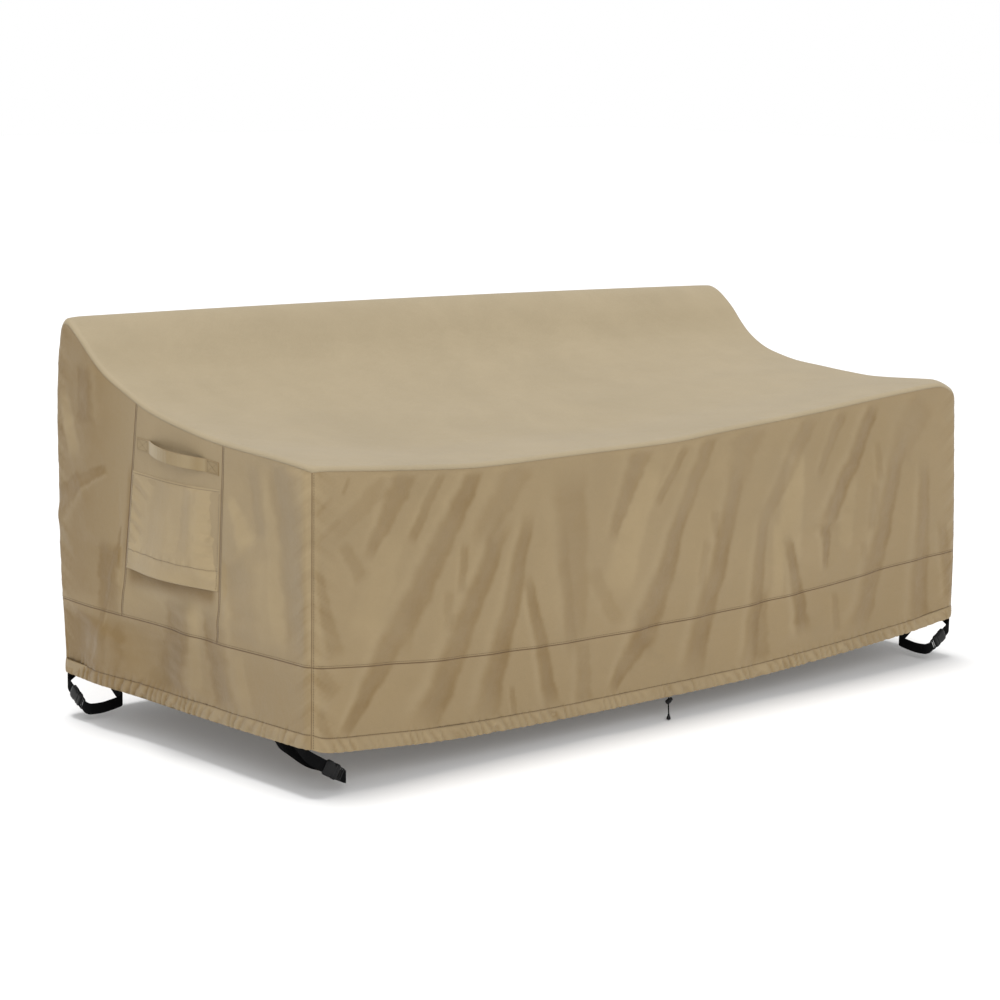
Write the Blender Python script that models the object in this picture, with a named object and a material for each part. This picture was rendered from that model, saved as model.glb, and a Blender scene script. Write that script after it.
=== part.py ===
"""Outdoor sofa cover: a fitted cloth cover sewn from panels, hollow inside and open below.

Metres, +Z up. The front faces -Y and the side with the handle and the vent flap faces -X.
The cover is drawn with its hem corners at height 0, its front at y = 0 and x = 0 in the middle.
An empty then carries every piece, so that the world's origin is the point under the ridge
where the cover is held up.
"""

import math

import bmesh
import bpy
from mathutils import Matrix, Vector

# Driving dimensions
WIDTH = 2.000
DEPTH = 0.885
BAND_HEIGHT = 0.168  # band seam above the hem
CASING_HEIGHT = 0.031  # stitch line of the drawcord casing above the hem
CLOTH = 0.002  # thickness of every cloth
GAP = 0.0003  # between neighbouring pieces

# The cover's corners and edges
CORNER_RADIUS = 0.025  # of the outline seen from above
EDGE_ROLL = 0.014  # the top starts to roll over this far in from an edge
EDGE_DROP = 0.010  # and meets its seam this far down
RIDGE_ROLL = 0.035  # the same two sizes at the back
RIDGE_DROP = 0.030
RIDGE_CROWN = 0.006  # the ridge stands this much higher in the middle
CROWN_SPAN = (0.75, 0.85)  # the crown rises between these depths
CASING_PUFF = 0.0015  # the casing bulges this far out
SIDE_SAG = 0.006  # the side's lower lines hang this much lower half-way
SEAM_FADE = 0.040  # folds flatten within this height under the top seam
CORNER_FADE = 0.080  # and within this distance from a corner

# Height of the top from front to back, how far its left edge is up and its right edge down,
# and the share of the front edge's sag that it takes
TOP = {
    "y": (0.00, 0.12, 0.26, 0.35, 0.44, 0.52, 0.58, 0.64, 0.70, 0.74, 0.78, 0.82, 0.85, 0.885),
    "height": (
        0.582, 0.582, 0.581, 0.586, 0.595, 0.605, 0.618,
        0.638, 0.666, 0.694, 0.728, 0.756, 0.771, 0.777,
    ),
    "tilt": (
        -0.012, -0.004, 0.003, 0.005, 0.008, 0.012, 0.014,
        0.018, 0.020, 0.020, 0.016, 0.014, 0.015, 0.016,
    ),
    "sag": (1.0, 1.15, 1.3, 1.15, 0.9, 0.65, 0.45, 0.3, 0.15, 0.08, 0.03, 0.0, 0.0, 0.0),
}

# How far each line of the front hangs down between the corners
FRONT = {
    "x": (-1.0, -0.95, -0.82, -0.70, -0.56, -0.30, 0.0, 0.15, 0.30, 0.50, 0.70, 0.85, 1.0),
    "top": (
        0.0, 0.004, 0.017, 0.028, 0.038, 0.041, 0.044,
        0.037, 0.031, 0.022, 0.010, 0.003, 0.0,
    ),
    "band": (
        0.0, 0.006, 0.018, 0.029, 0.037, 0.046, 0.045,
        0.043, 0.038, 0.029, 0.014, 0.005, 0.0,
    ),
    "hem": (
        0.0, 0.012, 0.024, 0.034, 0.041, 0.046, 0.047,
        0.047, 0.045, 0.037, 0.026, 0.015, 0.0,
    ),
}

# How far the walls stand out beyond the plain outline: the rear of both sides, the back, the
# front of the right side low down, the front half-way up
BULGE_REAR = (0.59, 0.785)  # the side's bulges change over between these depths
BULGE = {
    "z": (0.05, 0.15, 0.30, 0.45, 0.60, 0.70, 0.78),
    "left": (0.012, 0.015, 0.019, 0.019, 0.018, 0.015, 0.010),
    "back": (0.0, 0.003, 0.006, 0.008, 0.010, 0.008, 0.0),
    "right": (0.015, 0.015, 0.008, -0.002, -0.010, -0.010, -0.010),
    "right_rear": (0.008, 0.010, 0.013, 0.016, 0.018, 0.018, 0.018),
    "front": (0.0, 0.004, 0.008, 0.006, 0.0, 0.0, 0.0),
}

# The top comes down to its corners: how far along x and y each slope reaches, and how far the
# corner itself comes down
CORNER_SLOPES = {
    "front_left": (0.030, 0.030, 0.003),
    "front_right": (0.085, 0.085, 0.042),
    "back_left": (0.050, 0.060, 0.010),
    "back_right": (0.050, 0.060, 0.004),
}

# The two seams of the left side, and how far each leans back on its way down to the band
FRONT_SEAM = 0.291
REAR_SEAM = 0.597
LEAN = {
    "y": (0.0, FRONT_SEAM, REAR_SEAM, DEPTH),
    "back": (0.0, 0.021, 0.057, 0.0),
}

# Long soft troughs: wall, where each starts and ends (along the wall, height), width, depth
FOLDS = (
    ("front", -0.72, 0.52, -0.86, 0.36, 0.035, 0.006),
    ("front", -0.65, 0.42, -0.75, 0.39, 0.025, 0.003),
    ("front", -0.54, 0.51, -0.67, 0.40, 0.035, 0.005),
    ("front", -0.67, 0.40, -0.79, 0.24, 0.035, 0.005),
    ("front", -0.49, 0.41, -0.63, 0.15, 0.030, 0.005),
    ("front", -0.44, 0.38, -0.54, 0.01, 0.035, 0.006),
    ("front", -0.41, 0.22, -0.34, 0.01, 0.030, 0.004),
    ("front", -0.35, 0.44, -0.20, 0.18, 0.055, 0.006),
    ("front", -0.07, 0.52, -0.19, 0.33, 0.030, 0.006),
    ("front", 0.05, 0.49, -0.13, 0.13, 0.035, 0.006),
    ("front", -0.04, 0.11, -0.17, 0.01, 0.030, 0.004),
    ("front", 0.15, 0.54, 0.05, 0.41, 0.030, 0.005),
    ("front", 0.24, 0.44, 0.13, 0.19, 0.035, 0.005),
    ("front", 0.21, 0.30, 0.08, 0.01, 0.035, 0.005),
    ("front", 0.57, 0.54, 0.49, 0.42, 0.030, 0.005),
    ("front", 0.66, 0.52, 0.51, 0.25, 0.035, 0.006),
    ("front", 0.76, 0.41, 0.64, 0.18, 0.035, 0.006),
    ("front", 0.86, 0.35, 0.86, 0.06, 0.035, 0.005),
    ("front", 0.41, 0.18, 0.46, 0.06, 0.030, 0.003),
    ("left", 0.76, 0.18, 0.76, 0.05, 0.025, 0.003),
    ("left", 0.71, 0.32, 0.71, 0.17, 0.025, 0.003),
    ("left", 0.20, 0.47, 0.14, 0.38, 0.030, 0.003),
)

# Vent flap, on the left side between the two seams
FLAP_TOP = 0.485
FLAP_BOTTOM = 0.272
FLAP_MARGIN = 0.003  # from each seam
FLAP_STAND_OFF = 0.0005  # between the cloth and the wall along the sewn edges
FLAP_BOW = 0.024  # how far the free edge stands out in the middle
FLAP_DIP = 0.005  # how far its sewn top edge dips in the middle

# Handle, above the flap: a cloth strap sewn flat at both ends
HANDLE_FRONT = 0.305
HANDLE_REAR = 0.594
HANDLE_SEWN = 0.042
HANDLE_FRONT_Z = 0.526
HANDLE_REAR_Z = 0.544
HANDLE_WIDTH = 0.028
HANDLE_BOW = 0.024

# Leg straps and side-release buckles
STRAP_WIDTH = 0.025
STRAP_THICKNESS = 0.0015
STRAP_SLOPE = 0.6  # fall per length along the wall
STRAP_CORNER_Z = -0.014  # height of the strap's middle as it turns the cover's corner
STRAP_TURN = 0.023  # radius round the cover's corner
STRAP_BEND = 0.012  # radius of its other turns
LONG_STRAP_END = 0.085  # sewn end, from the corner along the next wall
LOOP_LENGTH = 0.097
LOOP_DEPTH = 0.100
SHORT_STRAP_END = 0.150
BUCKLE_JOINT = 0.062  # where socket and plug meet, from the corner
SOCKET_LENGTH = 0.030
PLUG_LENGTH = 0.022
BUCKLE_WIDTH = 0.033
BUCKLE_THICKNESS = 0.009
BUCKLE_NOTCH = 0.004  # depth of the socket's corner cuts and of its side openings
BUCKLE_SOFTENED = 0.0012

# Outlines of the two halves: share of the length from the joint, share of the half width,
# and how many notches the point is moved along and inwards
SOCKET_OUTLINE = (
    (-1.00, -0.75, 0, 0), (-1.00, -1.00, 1, 0), (-0.35, -1.00, 0, 0),
    (-0.25, -1.00, 0, 1), (0.00, -1.00, -1, 1), (0.00, -1.00, 0, 0),
)
PLUG_OUTLINE = (
    (0.00, -1.00, 0, 0), (0.35, -1.00, 0, 0), (0.55, -0.85, 0, 0), (1.00, -0.85, 0, 0),
)

# Heights of the short strap's middle against the distance from the buckle
SHORT_STRAP = {
    "distance": (0.0, 0.006, 0.020, 0.060, 0.120, 0.180, 0.210, 0.242),
    "z": (0.0, -0.0036, -0.008, -0.008, 0.006, 0.048, 0.072, 0.092),
}

# Drawcord under the front hem, with its lock and its end piece
CORD_X = 0.008
CORD_DIAMETER = 0.003
CORD_LENGTH = 0.038
CORD_SWAY = 0.002  # the cord's lower end hangs this far to the right
LOCK_BORE = 0.0038
LOCK_RADIUS = 0.0055
LOCK_LENGTH = 0.011
LOCK_DROP = 0.0095  # the lock's middle below the hem
BUTTON_RADIUS = 0.0042
BUTTON_LENGTH = 0.006
LOCK_TILT = math.radians(25)
LOCK_ROUND = 0.0012
CORD_END_PROFILE = (  # radius, height below the cord's end
    (0.0022, 0.0000), (0.0024, -0.0030), (0.0044, -0.0075), (0.0050, -0.0110), (0.0036, -0.0135),
)

# Colours: red, green, blue, roughness
TOP_CLOTH = (0.50, 0.41, 0.27, 0.85)
WALL_CLOTH = (0.37, 0.29, 0.17, 0.85)
HANDLE_CLOTH = (0.42, 0.33, 0.20, 0.85)
WEBBING = (0.012, 0.012, 0.013, 0.80)
BLACK_PLASTIC = (0.014, 0.014, 0.016, 0.40)

HALF_WIDTH = WIDTH / 2
WALL_ROWS = 6  # of faces between the band seam and the top seam
ROLL_ANGLES = (90, 60, 30, 0)


def curve(table, column, at):
    """Smooth curve through one column of a table, over its first column."""
    steps = next(iter(table.values()))
    values = table[column]
    last = len(steps) - 1
    if at <= steps[0]:
        return values[0]
    if at >= steps[last]:
        return values[last]
    low = max(k for k in range(last) if steps[k] <= at)

    def slope(k):
        before, after = max(k - 1, 0), min(k + 1, last)
        return (values[after] - values[before]) / (steps[after] - steps[before])

    length = steps[low + 1] - steps[low]
    t = (at - steps[low]) / length
    ends = values[low] * (1 + 2 * t) * (1 - t) ** 2 + values[low + 1] * t * t * (3 - 2 * t)
    return ends + length * t * (1 - t) * (slope(low) * (1 - t) - slope(low + 1) * t)


def ease(share):
    """0 below 0, 1 above 1 and a smooth rise between them."""
    share = min(max(share, 0.0), 1.0)
    return share * share * (3 - 2 * share)


# The cover's shape


def edge_drop(y):
    """How far the top's seam lies below the top: more where the ridge rolls over."""
    return EDGE_DROP + (RIDGE_DROP - EDGE_DROP) * ease(1 - (DEPTH - y) / RIDGE_ROLL)


def corner_drop(x, y):
    """How far the top comes down near a corner."""
    name = ("front" if y < DEPTH / 2 else "back") + ("_left" if x < 0 else "_right")
    reach_x, reach_y, drop = CORNER_SLOPES[name]
    across = max(0.0, 1 - (HALF_WIDTH - abs(x)) / reach_x)
    along = max(0.0, 1 - min(y, DEPTH - y) / reach_y)
    return drop * (across * along) ** 2


def top_height(x, y):
    """Height of the top before it rolls over at its edges."""
    tilt = -curve(TOP, "tilt", y) * x / HALF_WIDTH
    crown_start, crown_full = CROWN_SPAN
    crown = RIDGE_CROWN * ease((y - crown_start) / (crown_full - crown_start))
    crown *= 1 - (x / HALF_WIDTH) ** 2
    sag = curve(FRONT, "top", x) * curve(TOP, "sag", y)
    return curve(TOP, "height", y) + tilt + crown - sag - corner_drop(x, y)


def rolled_height(x, y):
    """Height of the top, with its edges rolled over like a quarter of a ball or a tube."""
    across = max(0.0, 1 - (HALF_WIDTH - abs(x)) / EDGE_ROLL)
    along = max(0.0, 1 - y / EDGE_ROLL, 1 - (DEPTH - y) / RIDGE_ROLL)
    share = across**2 + along**2 - across**2 * along**2
    return top_height(x, y) - edge_drop(y) * (1 - math.sqrt(max(0.0, 1 - share)))


def line_height(line, x, y):
    """Height of the "hem", "casing", "band" or "top" line at a point of the outline."""
    if line == "top":
        return top_height(x, y) - edge_drop(y)
    height = {"hem": 0.0, "casing": CASING_HEIGHT, "band": BAND_HEIGHT}[line]
    if y == 0:
        return height - curve(FRONT, "band" if line == "band" else "hem", x)
    if abs(x) == HALF_WIDTH:
        return height - SIDE_SAG * math.sin(math.pi * y / DEPTH)
    return height


def rounded(x, y):
    """A plan point of the square outline, moved to where the outline's corners are round.

    The map turns the square at each corner into a quarter of a disc. Also gives the
    direction from the disc's middle, which is the wall's outward direction on the outline.
    """
    sign = Vector((math.copysign(1, x), -1 if y < DEPTH / 2 else 1))
    a = 1 - (HALF_WIDTH - abs(x)) / CORNER_RADIUS
    b = 1 - min(y, DEPTH - y) / CORNER_RADIUS
    if a <= 0 or b <= 0:
        outward = Vector((sign.x, 0)) if a > b else Vector((0, sign.y))
        return Vector((x, y)), outward
    spot = Vector((a * math.sqrt(1 - b * b / 2), b * math.sqrt(1 - a * a / 2)))
    move = (spot - Vector((a, b))) * CORNER_RADIUS * sign
    return Vector((x, y)) + move, (spot * sign).normalized()


def bulged(point):
    """A point moved by the slow bulges of the walls."""
    x, y, z = point
    change_start, change_end = BULGE_REAR
    rear = ease((y - change_start) / (change_end - change_start))
    edge = abs(x / HALF_WIDTH) ** 3
    if x < 0:
        x -= curve(BULGE, "left", z) * rear * edge
    else:
        x += (curve(BULGE, "right", z) * (1 - rear) + curve(BULGE, "right_rear", z) * rear) * edge
    middle = 1 - min(abs(x / HALF_WIDTH), 1) ** 4
    y += curve(BULGE, "back", z) * (y / DEPTH) ** 3
    y -= curve(BULGE, "front", z) * max(0.0, 1 - y / DEPTH) ** 3 * middle
    return Vector((x, y, z))


def relief(wall, along, z, hem, casing, top):
    """How far a wall stands out at a place: its troughs and the drawcord casing."""
    place = Vector((along, z))
    depth = 0.0
    for fold_wall, along_0, z_0, along_1, z_1, width, fold_depth in FOLDS:
        if fold_wall != wall:
            continue
        start = Vector((along_0, z_0))
        run = Vector((along_1, z_1)) - start
        share = min(max((place - start).dot(run) / run.length_squared, 0.0), 1.0)
        distance = (place - start - run * share).length
        depth += fold_depth * math.exp(-((distance / width) ** 2))
    length = DEPTH if wall in ("left", "right") else WIDTH
    from_corner = length / 2 - abs(along - (DEPTH / 2 if length == DEPTH else 0.0))
    fade = ease((top - z) / SEAM_FADE) * ease(from_corner / CORNER_FADE)
    casing_share = min(max((z - hem) / (casing - hem), 0.0), 1.0)
    return CASING_PUFF * math.sin(math.pi * casing_share) - depth * fade


def wall_points(wall, along, share, line_low, line_high, trim):
    """Outer and inner point of a wall, a share of the way up between two of its lines.

    `trim` moves the point up, so that pieces stay apart at a seam.
    """
    x, y = {
        "front": (along, 0.0),
        "back": (along, DEPTH),
        "left": (-HALF_WIDTH, along),
        "right": (HALF_WIDTH, along),
    }[wall]
    low = line_height(line_low, x, y)
    z = low + (line_height(line_high, x, y) - low) * share + trim
    top = line_height("top", x, y)
    out = relief(wall, along, z, line_height("hem", x, y), line_height("casing", x, y), top)
    plan, outward = rounded(x, y)
    if wall == "left":
        band = line_height("band", x, y)
        plan.y += curve(LEAN, "back", along) * min((top - z) / (top - band), 1.0)
    outer = plan + outward * out
    inner = outer - outward * CLOTH
    return bulged(outer.to_3d() + Vector((0, 0, z))), bulged(inner.to_3d() + Vector((0, 0, z)))


def spaced(start, end, count):
    """Count equal steps from start up to, but without, end."""
    return [start + (end - start) * k / count for k in range(count)]


def edge_steps(roll):
    """Distances in from an edge that follow its rolled-over round."""
    return [roll * (1 - math.sin(math.radians(angle))) for angle in ROLL_ANGLES]


def columns_across():
    """Where the front, the back and the top have their columns of points, along x."""
    near = edge_steps(EDGE_ROLL)
    inner = HALF_WIDTH - CORNER_RADIUS
    left = [step - HALF_WIDTH for step in near]
    right = [HALF_WIDTH - step for step in reversed(near)]
    return left + spaced(-inner, inner, 38) + [inner] + right


def rows_along():
    """Where the sides and the top have theirs, along y. The two side seams are among them."""
    front = edge_steps(EDGE_ROLL)
    ridge = DEPTH - RIDGE_ROLL
    middle = spaced(CORNER_RADIUS, FRONT_SEAM, 6) + spaced(FRONT_SEAM, REAR_SEAM, 8)
    back = [DEPTH - step for step in reversed(edge_steps(RIDGE_ROLL))]
    return front + middle + spaced(REAR_SEAM, ridge, 7) + back


# Building objects


def material(name, colour):
    made = bpy.data.materials.new(name)
    made.use_nodes = True
    shader = made.node_tree.nodes["Principled BSDF"]
    shader.inputs["Base Color"].default_value = (*colour[:3], 1)
    shader.inputs["Roughness"].default_value = colour[3]
    shader.inputs["Metallic"].default_value = 0
    return made


def add_object(name, data, frame, colour):
    """Puts mesh or curve data into the scene, under the cover's empty."""
    made = bpy.data.objects.new(name, data)
    bpy.context.collection.objects.link(made)
    made.parent = frame
    data.materials.append(material(name + "_look", colour))
    return made


def add_mesh(name, points, faces, frame, colour):
    mesh = bpy.data.meshes.new(name)
    mesh.from_pydata(points, [], faces)
    work = bmesh.new()
    work.from_mesh(mesh)
    bmesh.ops.recalc_face_normals(work, faces=work.faces)
    work.to_mesh(mesh)
    work.free()
    mesh.shade_smooth()
    mesh.set_sharp_from_angle(angle=math.radians(40))
    return add_object(name, mesh, frame, colour)


def add_cloth(name, outer, inner, frame, colour):
    """A closed sheet between two grids of points with the same rows and columns."""
    rows, columns = len(outer), len(outer[0])

    def index(side, row, column):
        return (side * rows + row) * columns + column

    faces = []
    for r in range(rows - 1):
        for c in range(columns - 1):
            for side in (0, 1):
                square = [(r, c), (r, c + 1), (r + 1, c + 1), (r + 1, c)]
                corners = [index(side, *corner) for corner in square]
                faces.append(corners if side else corners[::-1])
    rim = [(0, c) for c in range(columns)]
    rim += [(r, columns - 1) for r in range(1, rows)]
    rim += [(rows - 1, c) for c in range(columns - 2, -1, -1)]
    rim += [(r, 0) for r in range(rows - 2, 0, -1)]
    for here, after in zip(rim, rim[1:] + rim[:1]):
        faces.append([index(0, *here), index(0, *after), index(1, *after), index(1, *here)])
    points = [point for grid in (outer, inner) for row in grid for point in row]
    return add_mesh(name, points, faces, frame, colour)


def add_wall_cloth(name, wall, stops, levels, frame):
    """One cloth of a wall: `stops` along it, `levels` as (low line, high line, share)."""
    stops = [stops[0] + GAP / 2] + stops[1:-1] + [stops[-1] - GAP / 2]
    trims = [0.0] * len(levels)
    if levels[0][0] == "band":
        trims[0] = GAP / 2
    trims[-1] = -GAP
    grid = [
        [wall_points(wall, along, share, low, high, trim) for along in stops]
        for (low, high, share), trim in zip(levels, trims)
    ]
    outer = [[pair[0] for pair in row] for row in grid]
    inner = [[pair[1] for pair in row] for row in grid]
    add_cloth(name, outer, inner, frame, WALL_CLOTH)


def add_walls(frame):
    across = columns_across()
    along = rows_along()
    front_seam = along.index(FRONT_SEAM)
    rear_seam = along.index(REAR_SEAM)
    upper = [("band", "top", row / WALL_ROWS) for row in range(WALL_ROWS + 1)]
    lower = [("hem", "casing", 0.0), ("hem", "casing", 0.5), ("hem", "casing", 1.0)]
    lower += [("casing", "band", 0.5), ("casing", "band", 1.0)]
    add_wall_cloth("front_panel", "front", across, upper, frame)
    add_wall_cloth("front_band", "front", across, lower, frame)
    add_wall_cloth("left_front_panel", "left", along[: front_seam + 1], upper, frame)
    add_wall_cloth("left_vent_panel", "left", along[front_seam : rear_seam + 1], upper, frame)
    add_wall_cloth("left_rear_panel", "left", along[rear_seam:], upper, frame)
    add_wall_cloth("left_band", "left", along, lower, frame)
    add_wall_cloth("right_panel", "right", along, upper, frame)
    add_wall_cloth("right_band", "right", along, lower, frame)
    add_wall_cloth("back_panel", "back", across, upper, frame)
    add_wall_cloth("back_band", "back", across, lower, frame)


def top_point(x, y):
    plan = rounded(x, y)[0]
    return Vector((plan.x, plan.y, rolled_height(x, y)))


def top_under(x, y):
    """The point on the top's underside: straight in from a seam, else down the slope's normal."""
    here = top_point(x, y)
    if abs(x) == HALF_WIDTH or y in (0.0, DEPTH):
        return here - rounded(x, y)[1].to_3d() * CLOTH
    step = 0.0002
    across = top_point(x + step, y) - top_point(x - step, y)
    along = top_point(x, y + step) - top_point(x, y - step)
    return here - across.cross(along).normalized() * CLOTH


def add_top(frame):
    outer = []
    inner = []
    for y in rows_along():
        places = [(x, y) for x in columns_across()]
        at_seam = [abs(x) == HALF_WIDTH or y in (0.0, DEPTH) for x, y in places]
        lift = [Vector((0, 0, GAP / 2 if seam else 0.0)) for seam in at_seam]
        outer.append([bulged(top_point(*place) + up) for place, up in zip(places, lift)])
        inner.append([bulged(top_under(*place) + up) for place, up in zip(places, lift)])
    add_cloth("top_panel", outer, inner, frame, TOP_CLOTH)


def left_wall_point(y, z, stand_off):
    """A point off the left wall, which leans and bulges with it."""
    top = line_height("top", -HALF_WIDTH, y)
    band = line_height("band", -HALF_WIDTH, y)
    lean = curve(LEAN, "back", y) * min((top - z) / (top - band), 1.0)
    return bulged(Vector((-HALF_WIDTH - stand_off, y + lean, z)))


def add_vent_flap(frame):
    """Sewn along its top and sides, bowed out more and more towards its free edge."""
    rows, columns = 8, 12
    outer = []
    inner = []
    for row in range(rows + 1):
        down = row / rows
        outer.append([])
        inner.append([])
        for column in range(columns + 1):
            share = column / columns
            dip = FLAP_DIP * math.sin(math.pi * share) * (1 - down)
            z = FLAP_TOP + (FLAP_BOTTOM - FLAP_TOP) * down - dip
            y = FRONT_SEAM + FLAP_MARGIN + (REAR_SEAM - FRONT_SEAM - 2 * FLAP_MARGIN) * share
            bow = FLAP_BOW * math.sin(math.pi * share) ** 1.2 * down**1.6
            outer[-1].append(left_wall_point(y, z, FLAP_STAND_OFF + bow + CLOTH))
            inner[-1].append(left_wall_point(y, z, FLAP_STAND_OFF + bow))
    add_cloth("vent_flap", outer, inner, frame, WALL_CLOTH)


def add_tube_of_squares(name, squares, frame, colour):
    """A closed strip through cuts of four points each."""
    points = [point for square in squares for point in square]
    faces = [[0, 1, 2, 3], [len(points) - 4 + k for k in (3, 2, 1, 0)]]
    for k in range(len(squares) - 1):
        for side in range(4):
            after = (side + 1) % 4
            faces.append([4 * k + side, 4 * k + 4 + side, 4 * k + 4 + after, 4 * k + after])
    return add_mesh(name, points, faces, frame, colour)


def add_handle(frame):
    """Sewn flat at both ends and bowed out between them."""
    free = HANDLE_REAR - HANDLE_FRONT - 2 * HANDLE_SEWN
    stops = [HANDLE_FRONT, HANDLE_FRONT + HANDLE_SEWN / 2]
    stops += spaced(HANDLE_FRONT + HANDLE_SEWN, HANDLE_REAR - HANDLE_SEWN, 12)
    stops += [HANDLE_REAR - HANDLE_SEWN, HANDLE_REAR - HANDLE_SEWN / 2, HANDLE_REAR]
    squares = []
    for y in stops:
        share = min(max((y - HANDLE_FRONT - HANDLE_SEWN) / free, 0.0), 1.0)
        rise = (y - HANDLE_FRONT) / (HANDLE_REAR - HANDLE_FRONT)
        z = HANDLE_FRONT_Z + (HANDLE_REAR_Z - HANDLE_FRONT_Z) * rise
        inside = FLAP_STAND_OFF + HANDLE_BOW * math.sin(math.pi * share)
        square = [(inside, 1), (inside, -1), (inside + CLOTH, -1), (inside + CLOTH, 1)]
        edge = HANDLE_WIDTH / 2
        squares.append(
            [bulged(Vector((-HALF_WIDTH - out, y, z + edge * side))) for out, side in square]
        )
    add_tube_of_squares("handle", squares, frame, HANDLE_CLOTH)


# Leg straps. Each corner has its own axes: a runs from the corner along the wall that shows
# the buckle, b runs inwards from that wall.

CORNERS = {
    "front_left": ((-HALF_WIDTH, 0.0), (1, 0), (0, 1)),
    "front_right": ((HALF_WIDTH, 0.0), (-1, 0), (0, 1)),
    "back_left": ((-HALF_WIDTH, DEPTH), (0, -1), (1, 0)),
    "back_right": ((HALF_WIDTH, DEPTH), (0, -1), (-1, 0)),
}


def corner_frame(corner):
    """Matrix from a corner's own axes to the cover's. It follows the bulge of the hem."""
    (x, y), (ax, ay), (bx, by) = CORNERS[corner]
    x, y, _ = bulged(Vector((x, y, 0)))
    return Matrix(((ax, bx, 0, x), (ay, by, 0, y), (0, 0, 1, 0), (0, 0, 0, 1)))


class PlanPath:
    """Straight runs seen from above, joined by arcs, and read by the distance along them."""

    def __init__(self, corners, radii):
        arc_steps = 8
        self.points = [corners[0]]
        for before, corner, after, radius in zip(corners, corners[1:], corners[2:], radii):
            back = (before - corner).normalized()
            ahead = (after - corner).normalized()
            centre = corner + (back + ahead) * radius
            for k in range(arc_steps + 1):
                turn = math.radians(90) * k / arc_steps
                arm = ahead * math.cos(turn) + back * math.sin(turn)
                self.points.append(centre - arm * radius)
        self.points.append(corners[-1])
        self.distances = [0.0]
        for here, after in zip(self.points, self.points[1:]):
            self.distances.append(self.distances[-1] + (after - here).length)

    def at(self, distance):
        """The point at a distance, and the direction to its right."""
        last = len(self.points) - 2
        k = max([0] + [n for n in range(last + 1) if self.distances[n] <= distance])
        ahead = (self.points[k + 1] - self.points[k]).normalized()
        place = self.points[k] + ahead * (distance - self.distances[k])
        return place, Vector((ahead.y, -ahead.x))


def add_strap(name, path, height, matrix, frame):
    """A webbing strap laid on its plan path, with its middle's height given along it.

    Each cut across the strap is square to it on the unrolled path.
    """
    points = []
    step = 0.001
    for distance in path.distances:
        slope = math.atan((height(distance + step) - height(distance - step)) / (2 * step))
        corners = []
        for edge in (1, -1):
            reach = edge * STRAP_WIDTH / 2
            place, right = path.at(distance - math.sin(slope) * reach)
            z = height(distance) + math.cos(slope) * reach
            for side in (edge, -edge):
                spot = place + right * side * STRAP_THICKNESS / 2
                corners.append(matrix @ Vector((*spot, z)))
        points.append(corners)
    return add_tube_of_squares(name, points, frame, WEBBING)


def buckle_outline(table, length, start):
    """The points of one buckle half, from its table row by row and then mirrored."""
    half = BUCKLE_WIDTH / 2
    points = [
        (start + along * length + ahead * BUCKLE_NOTCH, across * half + inwards * BUCKLE_NOTCH)
        for along, across, ahead, inwards in table
    ]
    return points + [(u, -v) for u, v in reversed(points)]


def add_buckle_half(name, outline, matrix, frame):
    """An outline in the strap's own plane, given thickness and softened edges."""
    half = BUCKLE_THICKNESS / 2
    count = len(outline)
    points = [matrix @ Vector((u, half * side, v)) for side in (-1, 1) for u, v in outline]
    faces = [list(range(count)), list(range(2 * count - 1, count - 1, -1))]
    faces += [[k, count + k, count + (k + 1) % count, (k + 1) % count] for k in range(count)]
    made = add_mesh(name, points, faces, frame, BLACK_PLASTIC)
    bevel = made.modifiers.new("soft_edges", "BEVEL")
    bevel.width = BUCKLE_SOFTENED
    bevel.segments = 2
    bevel.limit_method = "ANGLE"
    return made


def add_leg_strap(corner, frame):
    matrix = corner_frame(corner)
    seat = CLOTH + GAP + STRAP_THICKNESS / 2
    tilt = math.atan(STRAP_SLOPE)
    joint = Vector((BUCKLE_JOINT, seat, STRAP_CORNER_Z - STRAP_SLOPE * BUCKLE_JOINT))
    socket_start = BUCKLE_JOINT - (SOCKET_LENGTH + GAP) * math.cos(tilt)
    plug_end = BUCKLE_JOINT + (PLUG_LENGTH + 2 * GAP) * math.cos(tilt)

    start = STRAP_CORNER_Z - STRAP_SLOPE * plug_end
    long_path = PlanPath(
        [Vector((seat, LONG_STRAP_END)), Vector((seat, seat)), Vector((socket_start, seat))],
        [STRAP_TURN],
    )
    short_path = PlanPath(
        [
            Vector((plug_end, seat)),
            Vector((LOOP_LENGTH, seat)),
            Vector((LOOP_LENGTH, LOOP_DEPTH)),
            Vector((seat, LOOP_DEPTH)),
            Vector((seat, SHORT_STRAP_END)),
        ],
        [STRAP_BEND] * 3,
    )

    def long_height(distance):
        to_socket = long_path.distances[-1] - distance
        return STRAP_CORNER_Z - STRAP_SLOPE * (socket_start - to_socket)

    def short_height(distance):
        if distance <= 0:
            return start - STRAP_SLOPE * distance
        return start + curve(SHORT_STRAP, "z", distance)

    add_strap("long_strap_" + corner, long_path, long_height, matrix, frame)
    add_strap("short_strap_" + corner, short_path, short_height, matrix, frame)

    socket = buckle_outline(SOCKET_OUTLINE, SOCKET_LENGTH, 0.0)
    plug = buckle_outline(PLUG_OUTLINE, PLUG_LENGTH, GAP)
    place = matrix @ Matrix.Translation(joint) @ Matrix.Rotation(tilt, 4, "Y")
    add_buckle_half("buckle_socket_" + corner, socket, place, frame)
    add_buckle_half("buckle_plug_" + corner, plug, place, frame)


# Drawcord


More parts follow.
